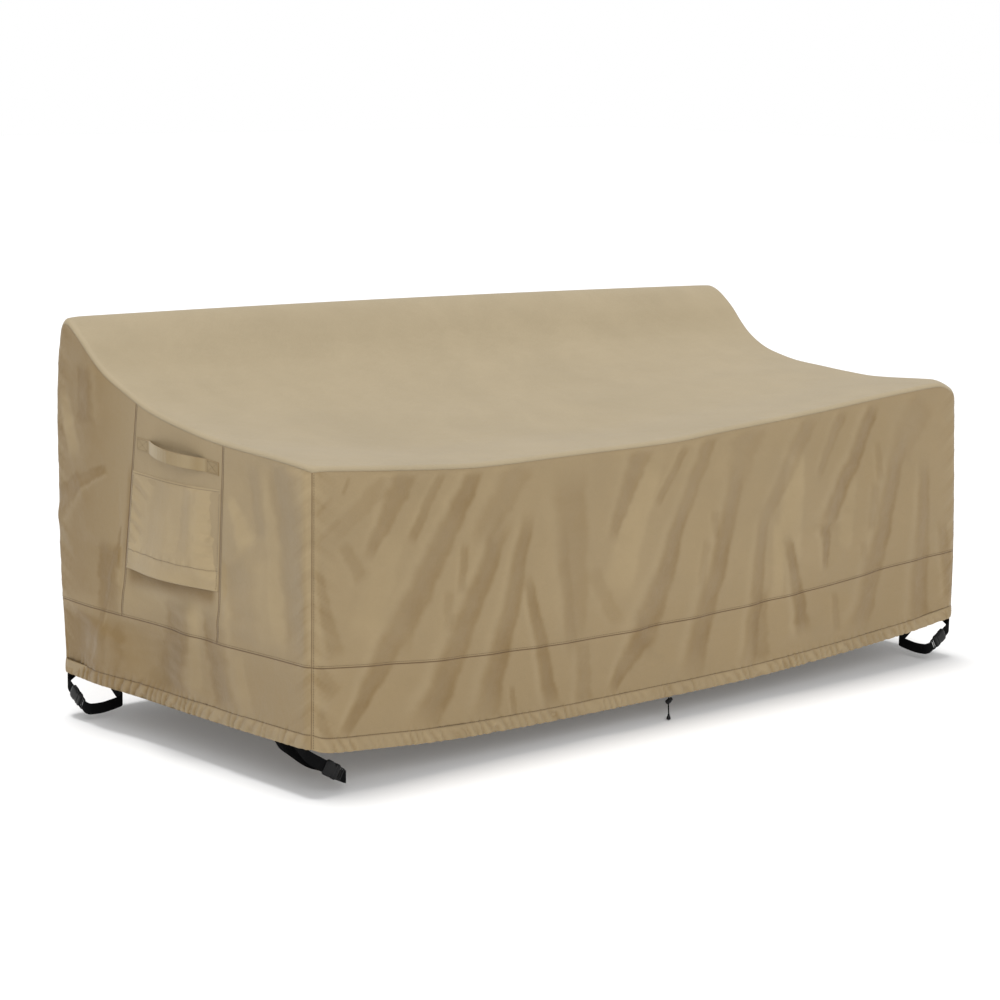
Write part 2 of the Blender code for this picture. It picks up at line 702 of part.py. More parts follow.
def turned(name, profile, matrix, frame, colour):
    """A solid turned from (radius, height) points about its own z axis, closed at both ends."""
    steps = 20
    points = [
        matrix @ Vector((radius * math.cos(turn), radius * math.sin(turn), z))
        for radius, z in profile
        for turn in [2 * math.pi * k / steps for k in range(steps)]
    ]
    faces = [list(range(steps)), list(range(len(points) - steps, len(points)))[::-1]]
    for ring in range(len(profile) - 1):
        for k in range(steps):
            after = (k + 1) % steps
            low, high = ring * steps, (ring + 1) * steps
            faces.append([low + k, low + after, high + after, high + k])
    return add_mesh(name, points, faces, frame, colour)


def cord_top():
    """Where the cord leaves the front hem, at the middle of the cloth's lower edge."""
    outer, inner = wall_points("front", CORD_X, 0.0, "hem", "casing", 0.0)
    return (outer + inner) / 2


def add_drawcord(frame):
    top = cord_top()
    count = 6
    points = []
    for k in range(count + 1):
        share = k / count
        points.append(top + Vector((CORD_SWAY * share**2, 0, -GAP - CORD_LENGTH * share)))
    data = bpy.data.curves.new("drawcord", "CURVE")
    data.dimensions = "3D"
    data.bevel_depth = CORD_DIAMETER / 2
    data.bevel_resolution = 2
    data.use_fill_caps = True
    spline = data.splines.new("POLY")
    spline.points.add(count)
    for point, place in zip(spline.points, points):
        point.co = (*place, 1)
    add_object("drawcord", data, frame, WEBBING)

    below = Matrix.Translation(points[-1] - Vector((0, 0, GAP)))
    turned("cord_end", CORD_END_PROFILE, below, frame, BLACK_PLASTIC)

    middle = Matrix.Translation(top - Vector((0, 0, LOCK_DROP)))
    level = middle @ Matrix.Rotation(math.radians(90) - LOCK_TILT, 4, "Y")
    body = [
        (LOCK_RADIUS - LOCK_ROUND, -LOCK_LENGTH / 2),
        (LOCK_RADIUS, -LOCK_LENGTH / 2 + LOCK_ROUND),
        (LOCK_RADIUS, LOCK_LENGTH / 2 - LOCK_ROUND),
        (LOCK_RADIUS - LOCK_ROUND, LOCK_LENGTH / 2),
    ]
    lock = turned("cord_lock_body", body, level, frame, BLACK_PLASTIC)
    cutter = [(LOCK_BORE / 2, -2 * LOCK_LENGTH), (LOCK_BORE / 2, 2 * LOCK_LENGTH)]
    bore = turned("bore_cutter", cutter, middle, frame, BLACK_PLASTIC)
    bore.hide_render = True
    bore.display_type = "WIRE"
    cut = lock.modifiers.new("bore", "BOOLEAN")
    cut.operation = "DIFFERENCE"
    cut.object = bore
    start = LOCK_LENGTH / 2 + GAP
    button = [
        (BUTTON_RADIUS, start),
        (BUTTON_RADIUS, start + BUTTON_LENGTH - LOCK_ROUND),
        (BUTTON_RADIUS - LOCK_ROUND, start + BUTTON_LENGTH),
    ]
    turned("cord_lock_button", button, level, frame, BLACK_PLASTIC)


def build():
    for old in list(bpy.data.objects):
        bpy.data.objects.remove(old)
    frame = bpy.data.objects.new("cover_frame", None)
    bpy.context.collection.objects.link(frame)
    held_at = bulged(top_under(0.0, DEPTH - RIDGE_ROLL))
    frame.location = -held_at
    add_top(frame)
    add_walls(frame)
    add_vent_flap(frame)
    add_handle(frame)
    add_drawcord(frame)
    for corner in CORNERS:
        add_leg_strap(corner, frame)
    print("held at", [round(value, 4) for value in held_at])


build()
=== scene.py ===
# %% [markdown]
# # A fitted outdoor cover
#
# The cover is sewn from flat pieces of coated polyester: one long cloth that rises from the
# low front to the ridge, walls all round, and a lower band whose hem is a casing for a
# drawcord. Pulled over what it protects it stands up by itself, and the walls hang in long
# slanting folds between the corners. The solids that hold its sizes are loaded first. Every
# cloth is then drawn again as a finer sheet on the same lines, with its folds, seams,
# stitches and weave.

import math

import bmesh
import bpy
import numpy as np
from mathutils import Matrix


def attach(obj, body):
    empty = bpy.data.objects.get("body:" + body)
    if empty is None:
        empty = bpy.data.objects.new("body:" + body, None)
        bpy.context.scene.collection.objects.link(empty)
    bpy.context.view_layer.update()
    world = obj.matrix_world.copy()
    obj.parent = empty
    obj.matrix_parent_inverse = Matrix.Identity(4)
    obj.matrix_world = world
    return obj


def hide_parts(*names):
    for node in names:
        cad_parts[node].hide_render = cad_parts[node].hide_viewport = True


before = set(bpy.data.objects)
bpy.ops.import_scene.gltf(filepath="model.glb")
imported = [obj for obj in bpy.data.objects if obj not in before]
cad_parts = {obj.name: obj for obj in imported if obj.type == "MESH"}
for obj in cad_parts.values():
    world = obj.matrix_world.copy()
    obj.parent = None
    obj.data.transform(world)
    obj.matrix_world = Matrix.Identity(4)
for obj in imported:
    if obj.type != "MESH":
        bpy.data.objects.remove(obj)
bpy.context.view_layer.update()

# %% [markdown]
# ## Sizes
#
# The cover is drawn with its hem corners at height 0, its front at y = 0 and x = 0 in the
# middle. The solids have their origin under the ridge instead, where the cover is held up
# from inside, so each finished mesh is moved by one fixed vector. Doing that in one place
# keeps every formula below in the simple coordinates.

# %% Sizes in metres
HELD_AT = np.array([0.0, 0.8511, 0.7751])
WIDTH, DEPTH = 2.000, 0.885
HALF_WIDTH = WIDTH / 2
BAND_HEIGHT, CASING_HEIGHT = 0.168, 0.031
GAP = 0.0003
CLOTH = 0.0009  # a coated cloth, thinner than its solid
CORNER_RADIUS = 0.025
EDGE_ROLL, EDGE_DROP = 0.014, 0.010
RIDGE_ROLL, RIDGE_DROP = 0.035, 0.030
RIDGE_CROWN, CROWN_SPAN = 0.006, (0.75, 0.85)
SIDE_SAG = 0.006
FRONT_SEAM, REAR_SEAM = 0.291, 0.597
FLOOR = -0.1005
MM = 0.001
print("cover:", WIDTH, "m wide,", DEPTH, "m deep, held", HELD_AT[2], "m above the hem")

# %% [markdown]
# ## The camera
#
# The camera comes first, so that every later step can be judged in the right frame. Straight
# edges of the cover were followed to where they meet, which gives the lens and the place:
# a long lens, standing to the left of the front and a little above the cover.

# %% Camera
LENS, SENSOR = 94.75, 36.0
CAMERA_PLACE = np.array([-4.095, -3.995, 1.384])
YAW, PITCH, ROLL = np.radians([41.93, 9.83, 0.81])


def camera_axes(yaw, pitch, roll):
    """Right, up and backward directions of a camera that turns, tips down and then rolls."""
    level = np.array([math.cos(yaw), -math.sin(yaw), 0.0])
    ahead = np.array([math.sin(yaw), math.cos(yaw), 0.0]) * math.cos(pitch)
    ahead[2] = -math.sin(pitch)
    right = math.cos(roll) * level + math.sin(roll) * np.cross(level, ahead)
    return right, np.cross(right, ahead), -ahead


def put(thing, place, axes):
    """Links a camera or a lamp at a place of the cover, turned to three axes."""
    bpy.context.collection.objects.link(thing)
    turn = Matrix(np.column_stack(axes).tolist()).to_4x4()
    thing.matrix_world = Matrix.Translation((np.array(place) - HELD_AT).tolist()) @ turn


camera_data = bpy.data.cameras.new("camera")
camera_data.lens, camera_data.sensor_width = LENS, SENSOR
camera_data.clip_start, camera_data.clip_end = 0.1, 200
camera = bpy.data.objects.new("camera", camera_data)
put(camera, CAMERA_PLACE, camera_axes(YAW, PITCH, ROLL))
bpy.context.scene.camera = camera
print("camera at", (CAMERA_PLACE - HELD_AT).round(3))

# %% [markdown]
# ## Putting arrays into meshes
#
# Each piece is worked out as arrays of points and faces. One helper turns them into a mesh
# object that sits at the origin, unturned, with a map in metres that the weave follows and
# any marks (numbers kept on each point) that a finish reads. A grid of points has a face
# between each four neighbours, and a tube is a grid that closes round its rows and at its
# two ends.


def mark_points(mesh, marks):
    """Keeps named numbers on the points of a mesh."""
    for mark, values in marks.items():
        layer = mesh.attributes.new(mark, "FLOAT", "POINT")
        layer.data.foreach_set("value", np.asarray(values, np.float32).ravel())


def add_piece(name, points, faces, finish, stands_for=(), uv=None, marks=None, sharp=40):
    """A mesh object from points (in the cover's coordinates), faces, a map and marks."""
    mesh = bpy.data.meshes.new(name)
    points = np.asarray(points, float).reshape(-1, 3) - HELD_AT
    mesh.from_pydata(points.tolist(), [], [list(face) for face in faces])
    if uv is not None:
        corner = np.empty(len(mesh.loops), np.int32)
        mesh.loops.foreach_get("vertex_index", corner)
        layer = mesh.uv_layers.new(name="cloth_map")
        layer.data.foreach_set("uv", np.asarray(uv, np.float32).reshape(-1, 2)[corner].ravel())
    mark_points(mesh, marks or {})
    mesh.shade_smooth()
    mesh.set_sharp_from_angle(angle=math.radians(sharp))
    piece = bpy.data.objects.new(name, mesh)
    bpy.context.collection.objects.link(piece)
    mesh.materials.append(finish)
    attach(piece, "root")
    if stands_for:
        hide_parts(*stands_for)
    print(f"{name}: {len(points)} points, {len(faces)} faces")
    return piece


def grid_faces(rows, columns, closed=False, flip=False):
    """Four-cornered faces between neighbours of a grid, closed round its rows if asked."""
    last = columns if closed else columns - 1
    row, column = np.meshgrid(np.arange(rows - 1), np.arange(last), indexing="ij")
    here, after = row * columns + column, row * columns + (column + 1) % columns
    faces = np.stack([here, after, after + columns, here + columns], -1).reshape(-1, 4)
    return faces[:, ::-1] if flip else faces


def tube_faces(rows, columns, first=0):
    """Faces of a tube of rings with both ends closed, for points that start at a number."""
    ends = [np.arange(columns)[::-1], np.arange(columns) + (rows - 1) * columns]
    return [(face + first).tolist() for face in [*grid_faces(rows, columns, closed=True), *ends]]


def add_closed(name, points, faces, finish, *more, **settings):
    """A closed piece, with its faces turned outwards."""
    piece = add_piece(name, points, faces, finish, *more, **settings)
    work = bmesh.new()
    work.from_mesh(piece.data)
    bmesh.ops.recalc_face_normals(work, faces=work.faces)
    work.to_mesh(piece.data)
    work.free()
    return piece


def travelled(path):
    """The distance along a path at each of its points."""
    steps = np.linalg.norm(np.diff(path, axis=0), axis=1)
    return np.concatenate([[0], np.cumsum(steps)])


def unit(vectors):
    """Vectors of the same direction and of length 1."""
    return vectors / np.linalg.norm(vectors, axis=-1, keepdims=True)


print("a tube of 4 rings of 5 points has", len(tube_faces(4, 5)), "faces")


# %% [markdown]
# ## Finishes
#
# The cloth is a coated plain weave: fine threads crossing every millimetre, a soft satin
# shine, faint cloudy tone, and painted shade, darker and browner, deep in the folds. All of
# it is made with nodes. The weave reads the cloth's own map in metres, so it runs along the
# cloth. The cloudy tone reads Object coordinates. Two marks on the points, one for folds and
# one for seams, carry painted light and shade: a fold mark above 0 is painted shade, darker
# and browner, and one below 0 is painted light. The seam mark darkens the seams, and on the
# handle it paints shade along the edges.

# %% Node helpers


def new_finish(name, slot, roughness, **shader_values):
    """A material with one Principled shader, and the node tree that later lines add to."""
    finish = bpy.data.materials.new(name)
    finish.use_nodes = True
    shader = finish.node_tree.nodes["Principled BSDF"]
    shader.inputs["Roughness"].default_value = roughness
    for key, value in shader_values.items():
        shader.inputs[key.replace("_", " ")].default_value = value
    return finish, finish.node_tree, shader


def node(tree, kind, inputs=None, **settings):
    """Adds a node, sets its settings, and fills or links its inputs."""
    made = tree.nodes.new("ShaderNode" + kind)
    for key, value in settings.items():
        setattr(made, key, value)
    for key, value in (inputs or {}).items():
        if isinstance(value, bpy.types.NodeSocket):
            tree.links.new(value, made.inputs[key])
        else:
            made.inputs[key].default_value = value
    return made


def feed(shader, **sockets):
    """Links sockets to a shader's inputs, which are named with _ for a space."""
    for key, socket in sockets.items():
        shader.id_data.links.new(socket, shader.inputs[key.replace("_", " ")])


def mix_colour(tree, share, first, second):
    """One colour from two, by a number or a socket."""
    inputs = {0: share, 6: first, 7: second}
    return node(tree, "Mix", inputs, data_type="RGBA", clamp_factor=True).outputs[2]


def tinted(colour, factor):
    """A colour times one factor or three, none above 1, as Blender's four numbers."""
    return (*np.minimum(np.array(colour) * factor, 1.0).tolist(), 1.0)


print("a warm tint of grey:", tinted((0.5, 0.5, 0.5), (1.1, 1.0, 0.8)))

# %% Pattern helpers


def multiply(tree, first, second, plus=0.0):
    """first * second + plus, of numbers or sockets."""
    return node(tree, "Math", {0: first, 1: second, 2: plus}, operation="MULTIPLY_ADD").outputs[0]


def noise(tree, place, scale, detail, roughness=0.5):
    """Soft random clouds between 0 and 1: scale is how many cross a metre."""
    inputs = {"Vector": place, "Scale": scale, "Detail": detail, "Roughness": roughness}
    return node(tree, "TexNoise", inputs).outputs["Fac"]


def stretch(tree, value, low, high, to_low=0.0, to_high=1.0):
    """Moves the span low to high of a value onto another span, and stops at its ends."""
    spans = {"From Min": low, "From Max": high, "To Min": to_low, "To Max": to_high}
    return node(tree, "MapRange", {"Value": value, **spans}).outputs[0]


def waves(tree, along, pitch, direction, distortion):
    """Wave bands a pitch apart: Blender draws scale * 10 / pi of them in each metre."""
    inputs = {"Vector": along, "Scale": math.pi / (10 * pitch), "Distortion": distortion}
    return node(tree, "TexWave", inputs, bands_direction=direction).outputs["Fac"]


def bump(tree, height, strength, distance, **normal):
    """A surface that is raised by a height, on top of another bump if one is given."""
    inputs = {"Height": height, "Strength": strength, "Distance": distance, **normal}
    return node(tree, "Bump", inputs).outputs[0]


def object_place(tree):
    """Each point's own Object coordinates, in metres."""
    return node(tree, "TexCoord").outputs["Object"]


def own_map(tree):
    """The map in metres that each piece brings with it."""
    return node(tree, "UVMap", uv_map="cloth_map").outputs[0]


def mark(tree, name):
    """A number that was kept on each point."""
    return node(tree, "Attribute", attribute_name=name).outputs["Fac"]


print("wave scale for bands 1 mm apart:", round(math.pi / (10 * MM), 1))


# %% Coated cloth
WEAVE = 0.0011  # from thread to thread
CLOTH_TINTS = {  # how a tone changes the cloth's own colour
    "cloud_dark": (0.945, 0.94, 0.92),
    "cloud_light": 1.05,
    "speck": 0.8,
    # The fold tints are painted shade and painted light, not the cloth's own colour.
    "painted_fold_shade": (0.69, 0.60, 0.41),
    "painted_fold_light": (1.23, 1.27, 1.33),
    # Dark seams, and painted shade along the handle's edges.
    "seam": (0.28, 0.17, 0.06),
}


def cloth_finish(name, slot, colour, roughness=0.58):
    """Coated plain weave in a base colour, with cloudy tone, painted fold shade and light, seam
    tone and weave.
    """
    shine = {"Sheen_Weight": 0.15, "Sheen_Roughness": 0.5, "Specular_IOR_Level": 0.35}
    finish, tree, shader = new_finish(name, slot, roughness, **shine)
    tint = {key: tinted(colour, factor) for key, factor in CLOTH_TINTS.items()}
    place = object_place(tree)
    cloud, blotch = noise(tree, place, 3.1, 5.0, 0.55), noise(tree, place, 11.0, 4.0, 0.6)
    tone = multiply(tree, blotch, 0.45, multiply(tree, cloud, 0.55))
    share = stretch(tree, tone, 0.36, 0.64)
    shade = mix_colour(tree, share, tint["cloud_dark"], tint["cloud_light"])
    speck = stretch(tree, noise(tree, place, 420.0, 2.0), 0.3, 0.7, 0.0, 0.22)
    shade = mix_colour(tree, speck, shade, tint["speck"])
    uneven = stretch(tree, blotch, 0.32, 0.66, 0.72, 1.22)
    # Painted shade of the folds above 0, painted light below 0.
    fold = multiply(tree, mark(tree, "painted_light_and_shade"), uneven)
    shade = mix_colour(tree, fold, shade, tint["painted_fold_shade"])
    shade = mix_colour(tree, multiply(tree, fold, -1.0), shade, tint["painted_fold_light"])
    # Dark seams and stitch rows, and painted shade along the handle's edges.
    shade = mix_colour(tree, mark(tree, "seam_dark_and_edge_shade"), shade, tint["seam"])

    cloth_map = own_map(tree)
    weave = multiply(tree, *[waves(tree, cloth_map, WEAVE, way, 0.4) for way in "XY"])
    soft = bump(tree, noise(tree, place, 42.0, 4.0, 0.6), 0.45, 0.0028)
    rough = stretch(tree, tone, 0.3, 0.7, roughness - 0.07, roughness + 0.09)
    normal = bump(tree, weave, 0.35, 0.00025, Normal=soft)
    feed(shader, Base_Color=shade, Normal=normal, Roughness=rough)
    return finish


# One cloth in three base colours: the top paler and the handle lighter, the walls darker and
# browner. The difference between them is painted light and shade.
lit_top_finish = cloth_finish("top_cloth_lit_finish", "top_cloth", (0.343, 0.275, 0.170), 0.62)
shaded_wall_finish = cloth_finish("wall_cloth_shaded_finish", "wall_cloth", (0.311, 0.228, 0.1195), 0.58)
lit_handle_finish = cloth_finish("handle_cloth_lit_finish", "handle_cloth", (0.365, 0.283, 0.163), 0.62)

# %% Thread, webbing, cord and plastic
BLACKS = {"webbing": (0.0010, 0.0010, 0.0011), "plastic": (0.0018, 0.0018, 0.0020)}
WORN_BLACK = (0.0045, 0.0045, 0.0048, 1.0)


def thread_finish(name, slot, colour):
    """Twisted sewing thread: matt, with a fine uneven ply."""
    finish, tree, shader = new_finish(name, slot, 0.75, Sheen_Weight=0.1)
    ply = noise(tree, object_place(tree), 900.0, 1.0)
    shade = mix_colour(tree, ply, tinted(colour, 0.7), tinted(colour, 1.4))
    feed(shader, Base_Color=shade, Normal=bump(tree, ply, 0.4, 0.0003))
    return finish


def webbing_finish(name, slot, pitch):
    """Black woven webbing or braid: slanting ribs that cross, on the piece's own map."""
    finish, tree, shader = new_finish(name, slot, 0.80, Specular_IOR_Level=0.06)
    ribs = {}
    for side, angle in enumerate((0.6, -0.6)):
        turned_map = {"Vector": own_map(tree), "Rotation": (0.0, 0.0, angle)}
        ribs[side] = waves(tree, node(tree, "Mapping", turned_map).outputs[0], pitch, "Y", 0.3)
    weave = node(tree, "Math", ribs, operation="MAXIMUM").outputs[0]
    shade = mix_colour(tree, weave, tinted(BLACKS["webbing"], 1), WORN_BLACK)
    feed(shader, Base_Color=shade, Normal=bump(tree, weave, 0.7, 0.0005))
    return finish


def plastic_finish(name, slot):
    """Black moulded plastic: half glossy, with a faint grain and small scuffs."""
    finish, tree, shader = new_finish(name, slot, 0.34, Specular_IOR_Level=0.22)
    place = object_place(tree)
    scuff = noise(tree, place, 160.0, 5.0, 0.7)
    shade = mix_colour(tree, scuff, tinted(BLACKS["plastic"], 1), WORN_BLACK)
    grain = bump(tree, noise(tree, place, 1500.0, 1.0), 0.12, 0.0002)
    rough = stretch(tree, scuff, 0.4, 0.75, 0.28, 0.5)
    feed(shader, Base_Color=shade, Normal=grain, Roughness=rough)
    return finish


brown_thread = thread_finish("brown_thread_finish", "wall_cloth", (0.075, 0.046, 0.020))
tan_thread = thread_finish("tan_thread_finish", "wall_cloth", (0.17, 0.115, 0.055))
webbing = webbing_finish("webbing_finish", "webbing", 0.0024)
braid = webbing_finish("braid_finish", "cord", 0.0009)
plastic = plastic_finish("black_plastic_finish", "black_plastic")

# %% [markdown]
# ## The drawcord
#
# Only the cord's free end shows: it leaves the hem in the middle of the front and hangs
# straight down, drifting a little to one side. Its length is the length that shows, 38 mm.
# A tube is swept round the route as a whole array: a circle of points in each cut.

# %% Cord
CORD_EXIT = np.array([0.008, 0.0010, -0.0473])
CORD_LENGTH, CORD_DIAMETER, CORD_SWAY = 0.038, 0.003, 0.002
ALONG_X, ALONG_Y, ALONG_Z = np.eye(3)


def sweep(name, path, across, out, section, finish, stands_for, sharp=40):
    """Carries a closed section along a path: each cut is centre + across * s + out * t.

    The map is in metres: round the section, and along the path.
    """
    s, t = section[None, :, :1], section[None, :, 1:]
    cuts = path[:, None, :] + across[:, None, :] * s + out[:, None, :] * t
    round_it = travelled(np.vstack([section, section[:1]]))[:-1]
    uv = np.stack(np.meshgrid(round_it, travelled(path)), -1)
    faces = tube_faces(*cuts.shape[:2])
    return add_closed(name, cuts, faces, finish, (stands_for,), uv, sharp=sharp)


def ring(radius, count):
    """Points of a circle."""
    turn = np.linspace(0, 2 * np.pi, count, endpoint=False)
    return np.stack([radius * np.cos(turn), radius * np.sin(turn)], -1)


def repeated(direction, path):
    """One direction for every point of a path."""
    return np.tile(direction, (len(path), 1))


share = np.linspace(0, 1, 25)
cord_route = [CORD_SWAY * share**2, 0 * share, -GAP - CORD_LENGTH * share]
cord_route = CORD_EXIT + np.stack(cord_route, -1)
level = repeated(ALONG_X, share), repeated(ALONG_Y, share)
section = ring(CORD_DIAMETER / 2, 16)
cord = sweep("drawcord_braid", cord_route, *level, section, braid, "drawcord")
print("cord route from", cord_route[0].round(4), "to", cord_route[-1].round(4))

# %% [markdown]
# ## The cord lock and the bell
#
# The lock is a turned barrel with a sprung button at its upper right end, tilted as it hangs.
# The bell on the cord's end is turned too. A turned piece is the simplest kind of surface:
# a profile of radius against height, carried round an axis.

# %% Turned pieces
LOCK_DROP, LOCK_TILT = 0.0095, math.radians(25)
BARREL = (
    (0.4, -5.5), (4.6, -5.5), (5.5, -4.6), (5.5, -2.2), (4.9, -1.8), (4.9, -1.2), (5.5, -0.8),
    (5.5, 0.8), (4.9, 1.2), (4.9, 1.8), (5.5, 2.2), (5.5, 4.6), (4.6, 5.5), (0.4, 5.5),
)
BUTTON = ((0.4, 5.8), (4.2, 5.8), (4.2, 10.4), (3.2, 11.8), (2.0, 11.3), (0.4, 11.1))
BELL = (
    (0.5, 0.6), (1.9, 0.3), (2.3, -1.6), (2.5, -3.4), (4.3, -7.4), (5.0, -11.0),
    (4.2, -12.6), (2.6, -13.4), (0.5, -13.5),
)


def bends(corners):
    """Each inner corner of a path, with the directions back and ahead and the shorter arm."""
    for before, corner, after in zip(corners, corners[1:], corners[2:]):
        arm = min(np.linalg.norm(before - corner), np.linalg.norm(after - corner))
        yield corner, unit(before - corner), unit(after - corner), arm


def rounded_profile(corners, fillet, steps=4):
    """A profile of (radius, height) with each inner corner replaced by a short curve."""
    t = np.linspace(0, 1, steps)[:, None]
    points = [corners[0]]
    for corner, back, ahead, arm in bends(corners):
        start, end = [corner + way * min(fillet, arm / 2.05) for way in (back, ahead)]
        points.extend(start * (1 - t) ** 2 + corner * 2 * t * (1 - t) + end * t**2)
    return np.array(points + [corners[-1]])


def turned(name, table, fillet, axes, middle, stands_for, count=40):
    """A solid of revolution: the profile's radius goes round the third axis at its height."""
    profile = rounded_profile(np.array(table) * MM, fillet)
    spokes = ring(1.0, count) @ axes[:2]
    points = middle + profile[:, None, :1] * spokes + profile[:, None, 1:] * axes[2]
    return add_closed(name, points, tube_faces(len(profile), count), plastic, (stands_for,))


def tipped(angle):
    """Three axes turned about y: the first one tips down by the angle."""
    c, s = math.cos(angle), math.sin(angle)
    return np.array([[c, 0, -s], [0, 1, 0], [s, 0, c]])


lock = tipped(math.pi / 2 - LOCK_TILT), CORD_EXIT - [0, 0, LOCK_DROP]
cord_end = np.eye(3), cord_route[-1] - [0, 0, GAP]
lock_body = turned("cord_lock_barrel", BARREL, 0.0008, *lock, "cord_lock_body")
lock_button = turned("cord_lock_push_button", BUTTON, 0.001, *lock, "cord_lock_button")
cord_bell = turned("cord_bell", BELL, 0.001, *cord_end, "cord_end")
print("cord:", CORD_LENGTH, "m long, with its lock", LOCK_DROP, "m below the hem")

# %% [markdown]
# ## The cover's lines
#
# The cover's form is a handful of lines seen from the side and from the front, each kept as
# a short table and drawn through with a smooth curve: the height of the top from front to
# back, how far the front's three lines hang down, how far the walls bulge, and how far the
# two side seams lean. They are the same lines that the solids follow.

# %% Tables of lines
TOP = {
    "y": (0.00, 0.12, 0.26, 0.35, 0.44, 0.52, 0.58, 0.64, 0.70, 0.74, 0.78, 0.82, 0.85, 0.885),
    "height": (
        0.582, 0.582, 0.581, 0.586, 0.595, 0.605, 0.618, 0.638, 0.666, 0.694, 0.728, 0.756,
        0.771, 0.777,
    ),
    "tilt": (
        -0.012, -0.004, 0.003, 0.005, 0.008, 0.012, 0.014, 0.018, 0.020, 0.020, 0.016, 0.014,
        0.015, 0.016,
    ),
    "sag": (1.0, 1.15, 1.3, 1.15, 0.9, 0.65, 0.45, 0.3, 0.15, 0.08, 0.03, 0.0, 0.0, 0.0),
}
FRONT = {
    "x": (-1.0, -0.95, -0.82, -0.70, -0.56, -0.30, 0.0, 0.15, 0.30, 0.50, 0.70, 0.85, 1.0),
    "top": (
        0.0, 0.004, 0.017, 0.028, 0.038, 0.041, 0.044, 0.037, 0.031, 0.022, 0.010, 0.003, 0.0,
    ),
    "band": (
        0.0, 0.006, 0.018, 0.029, 0.037, 0.046, 0.045, 0.043, 0.038, 0.029, 0.014, 0.005, 0.0,
    ),
    "hem": (
        0.0, 0.012, 0.024, 0.034, 0.041, 0.046, 0.047, 0.047, 0.045, 0.037, 0.026, 0.015, 0.0,
    ),
}
BULGE = {
    "z": (0.05, 0.15, 0.30, 0.45, 0.60, 0.70, 0.78),
    "left": (0.012, 0.015, 0.019, 0.019, 0.018, 0.015, 0.010),
    "back": (0.0, 0.003, 0.006, 0.008, 0.010, 0.008, 0.0),
    "right": (0.015, 0.015, 0.008, -0.002, -0.010, -0.010, -0.010),
    "right_rear": (0.008, 0.010, 0.013, 0.016, 0.018, 0.018, 0.018),
    "front": (0.0, 0.004, 0.008, 0.006, 0.0, 0.0, 0.0),
}
REAR_LEAN = 0.057
LEAN = {"y": (0.0, FRONT_SEAM, REAR_SEAM, DEPTH), "back": (0.0, 0.021, REAR_LEAN, 0.0)}
BULGE_REAR = (0.59, 0.785)
CORNER_SLOPES = {  # (side, end): reach across, reach along, drop
    (-1, 0): (0.030, 0.030, 0.003),
    (1, 0): (0.085, 0.085, 0.042),
    (-1, 1): (0.050, 0.060, 0.010),
    (1, 1): (0.050, 0.060, 0.004),
}


def curve(table, column, at):
    """Smooth curve through a table's column: cubic pieces that share the neighbours' slope."""
    steps, values = np.array(next(iter(table.values()))), np.array(table[column])
    last = len(steps) - 1
    index = np.arange(last + 1)
    before, after = np.maximum(index - 1, 0), np.minimum(index + 1, last)
    slope = (values[after] - values[before]) / (steps[after] - steps[before])
    at = np.clip(at, steps[0], steps[-1])
    low = np.clip(np.searchsorted(steps, at, side="right") - 1, 0, last - 1)
    length = steps[low + 1] - steps[low]
    t = (at - steps[low]) / length
    ends = values[low] * (1 + 2 * t) * (1 - t) ** 2 + values[low + 1] * t * t * (3 - 2 * t)
    return ends + length * t * (1 - t) * (slope[low] * (1 - t) - slope[low + 1] * t)


def ease(share):
    """0 below 0, 1 above 1 and a smooth rise between them: s * s * (3 - 2 * s)."""
    share = np.clip(share, 0.0, 1.0)
    return share * share * (3 - 2 * share)


def between(span, at):
    """How far along a span a place is, eased."""
    return ease((at - span[0]) / (span[1] - span[0]))


print("profile every 0.2 m:", curve(TOP, "height", np.arange(0, DEPTH, 0.2)).round(3))


# %% Heights
LINES = ("hem", "casing", "band", "top")
LINE_HEIGHT = {"hem": 0.0, "casing": CASING_HEIGHT, "band": BAND_HEIGHT}


def edge_drop(y):
    """How far the top's seam lies below the top: more where the ridge rolls over."""
    return EDGE_DROP + (RIDGE_DROP - EDGE_DROP) * ease(1 - (DEPTH - y) / RIDGE_ROLL)


def corner_drop(x, y):
    """How far the top comes down near a corner: drop * (share across * share along)^2."""
    down = np.zeros(np.broadcast(x, y).shape)
    for (side, end), (reach_x, reach_y, drop) in CORNER_SLOPES.items():
        across = np.clip(1 - (HALF_WIDTH - side * x) / reach_x, 0, None)
        along = np.clip(1 - (DEPTH - y if end else y) / reach_y, 0, None)
        down = down + drop * (across * along) ** 2
    return down


def top_height(x, y):
    """Height of the top before its edges roll over: profile - tilt + crown - sag - corners."""
    side = x / HALF_WIDTH
    crown = RIDGE_CROWN * between(CROWN_SPAN, y) * (1 - side**2)
    sag = curve(FRONT, "top", x) * curve(TOP, "sag", y)
    tilt = curve(TOP, "tilt", y) * x / HALF_WIDTH
    return curve(TOP, "height", y) - tilt + crown - sag - corner_drop(x, y)


def line_height(line, x, y):
    """Height of the hem, casing, band or top line at points of the outline."""
    if line == "top":
        return top_height(x, y) - edge_drop(y)
    front = curve(FRONT, "band" if line == "band" else "hem", x)
    side = np.where(np.abs(x) == HALF_WIDTH, SIDE_SAG * np.sin(np.pi * y / DEPTH), 0.0)
    return LINE_HEIGHT[line] - np.where(y == 0, front, side)


print("top of the front's corners:", top_height(np.array([-1.0, 1.0]), np.zeros(2)).round(3))

# %% Outline and bulges


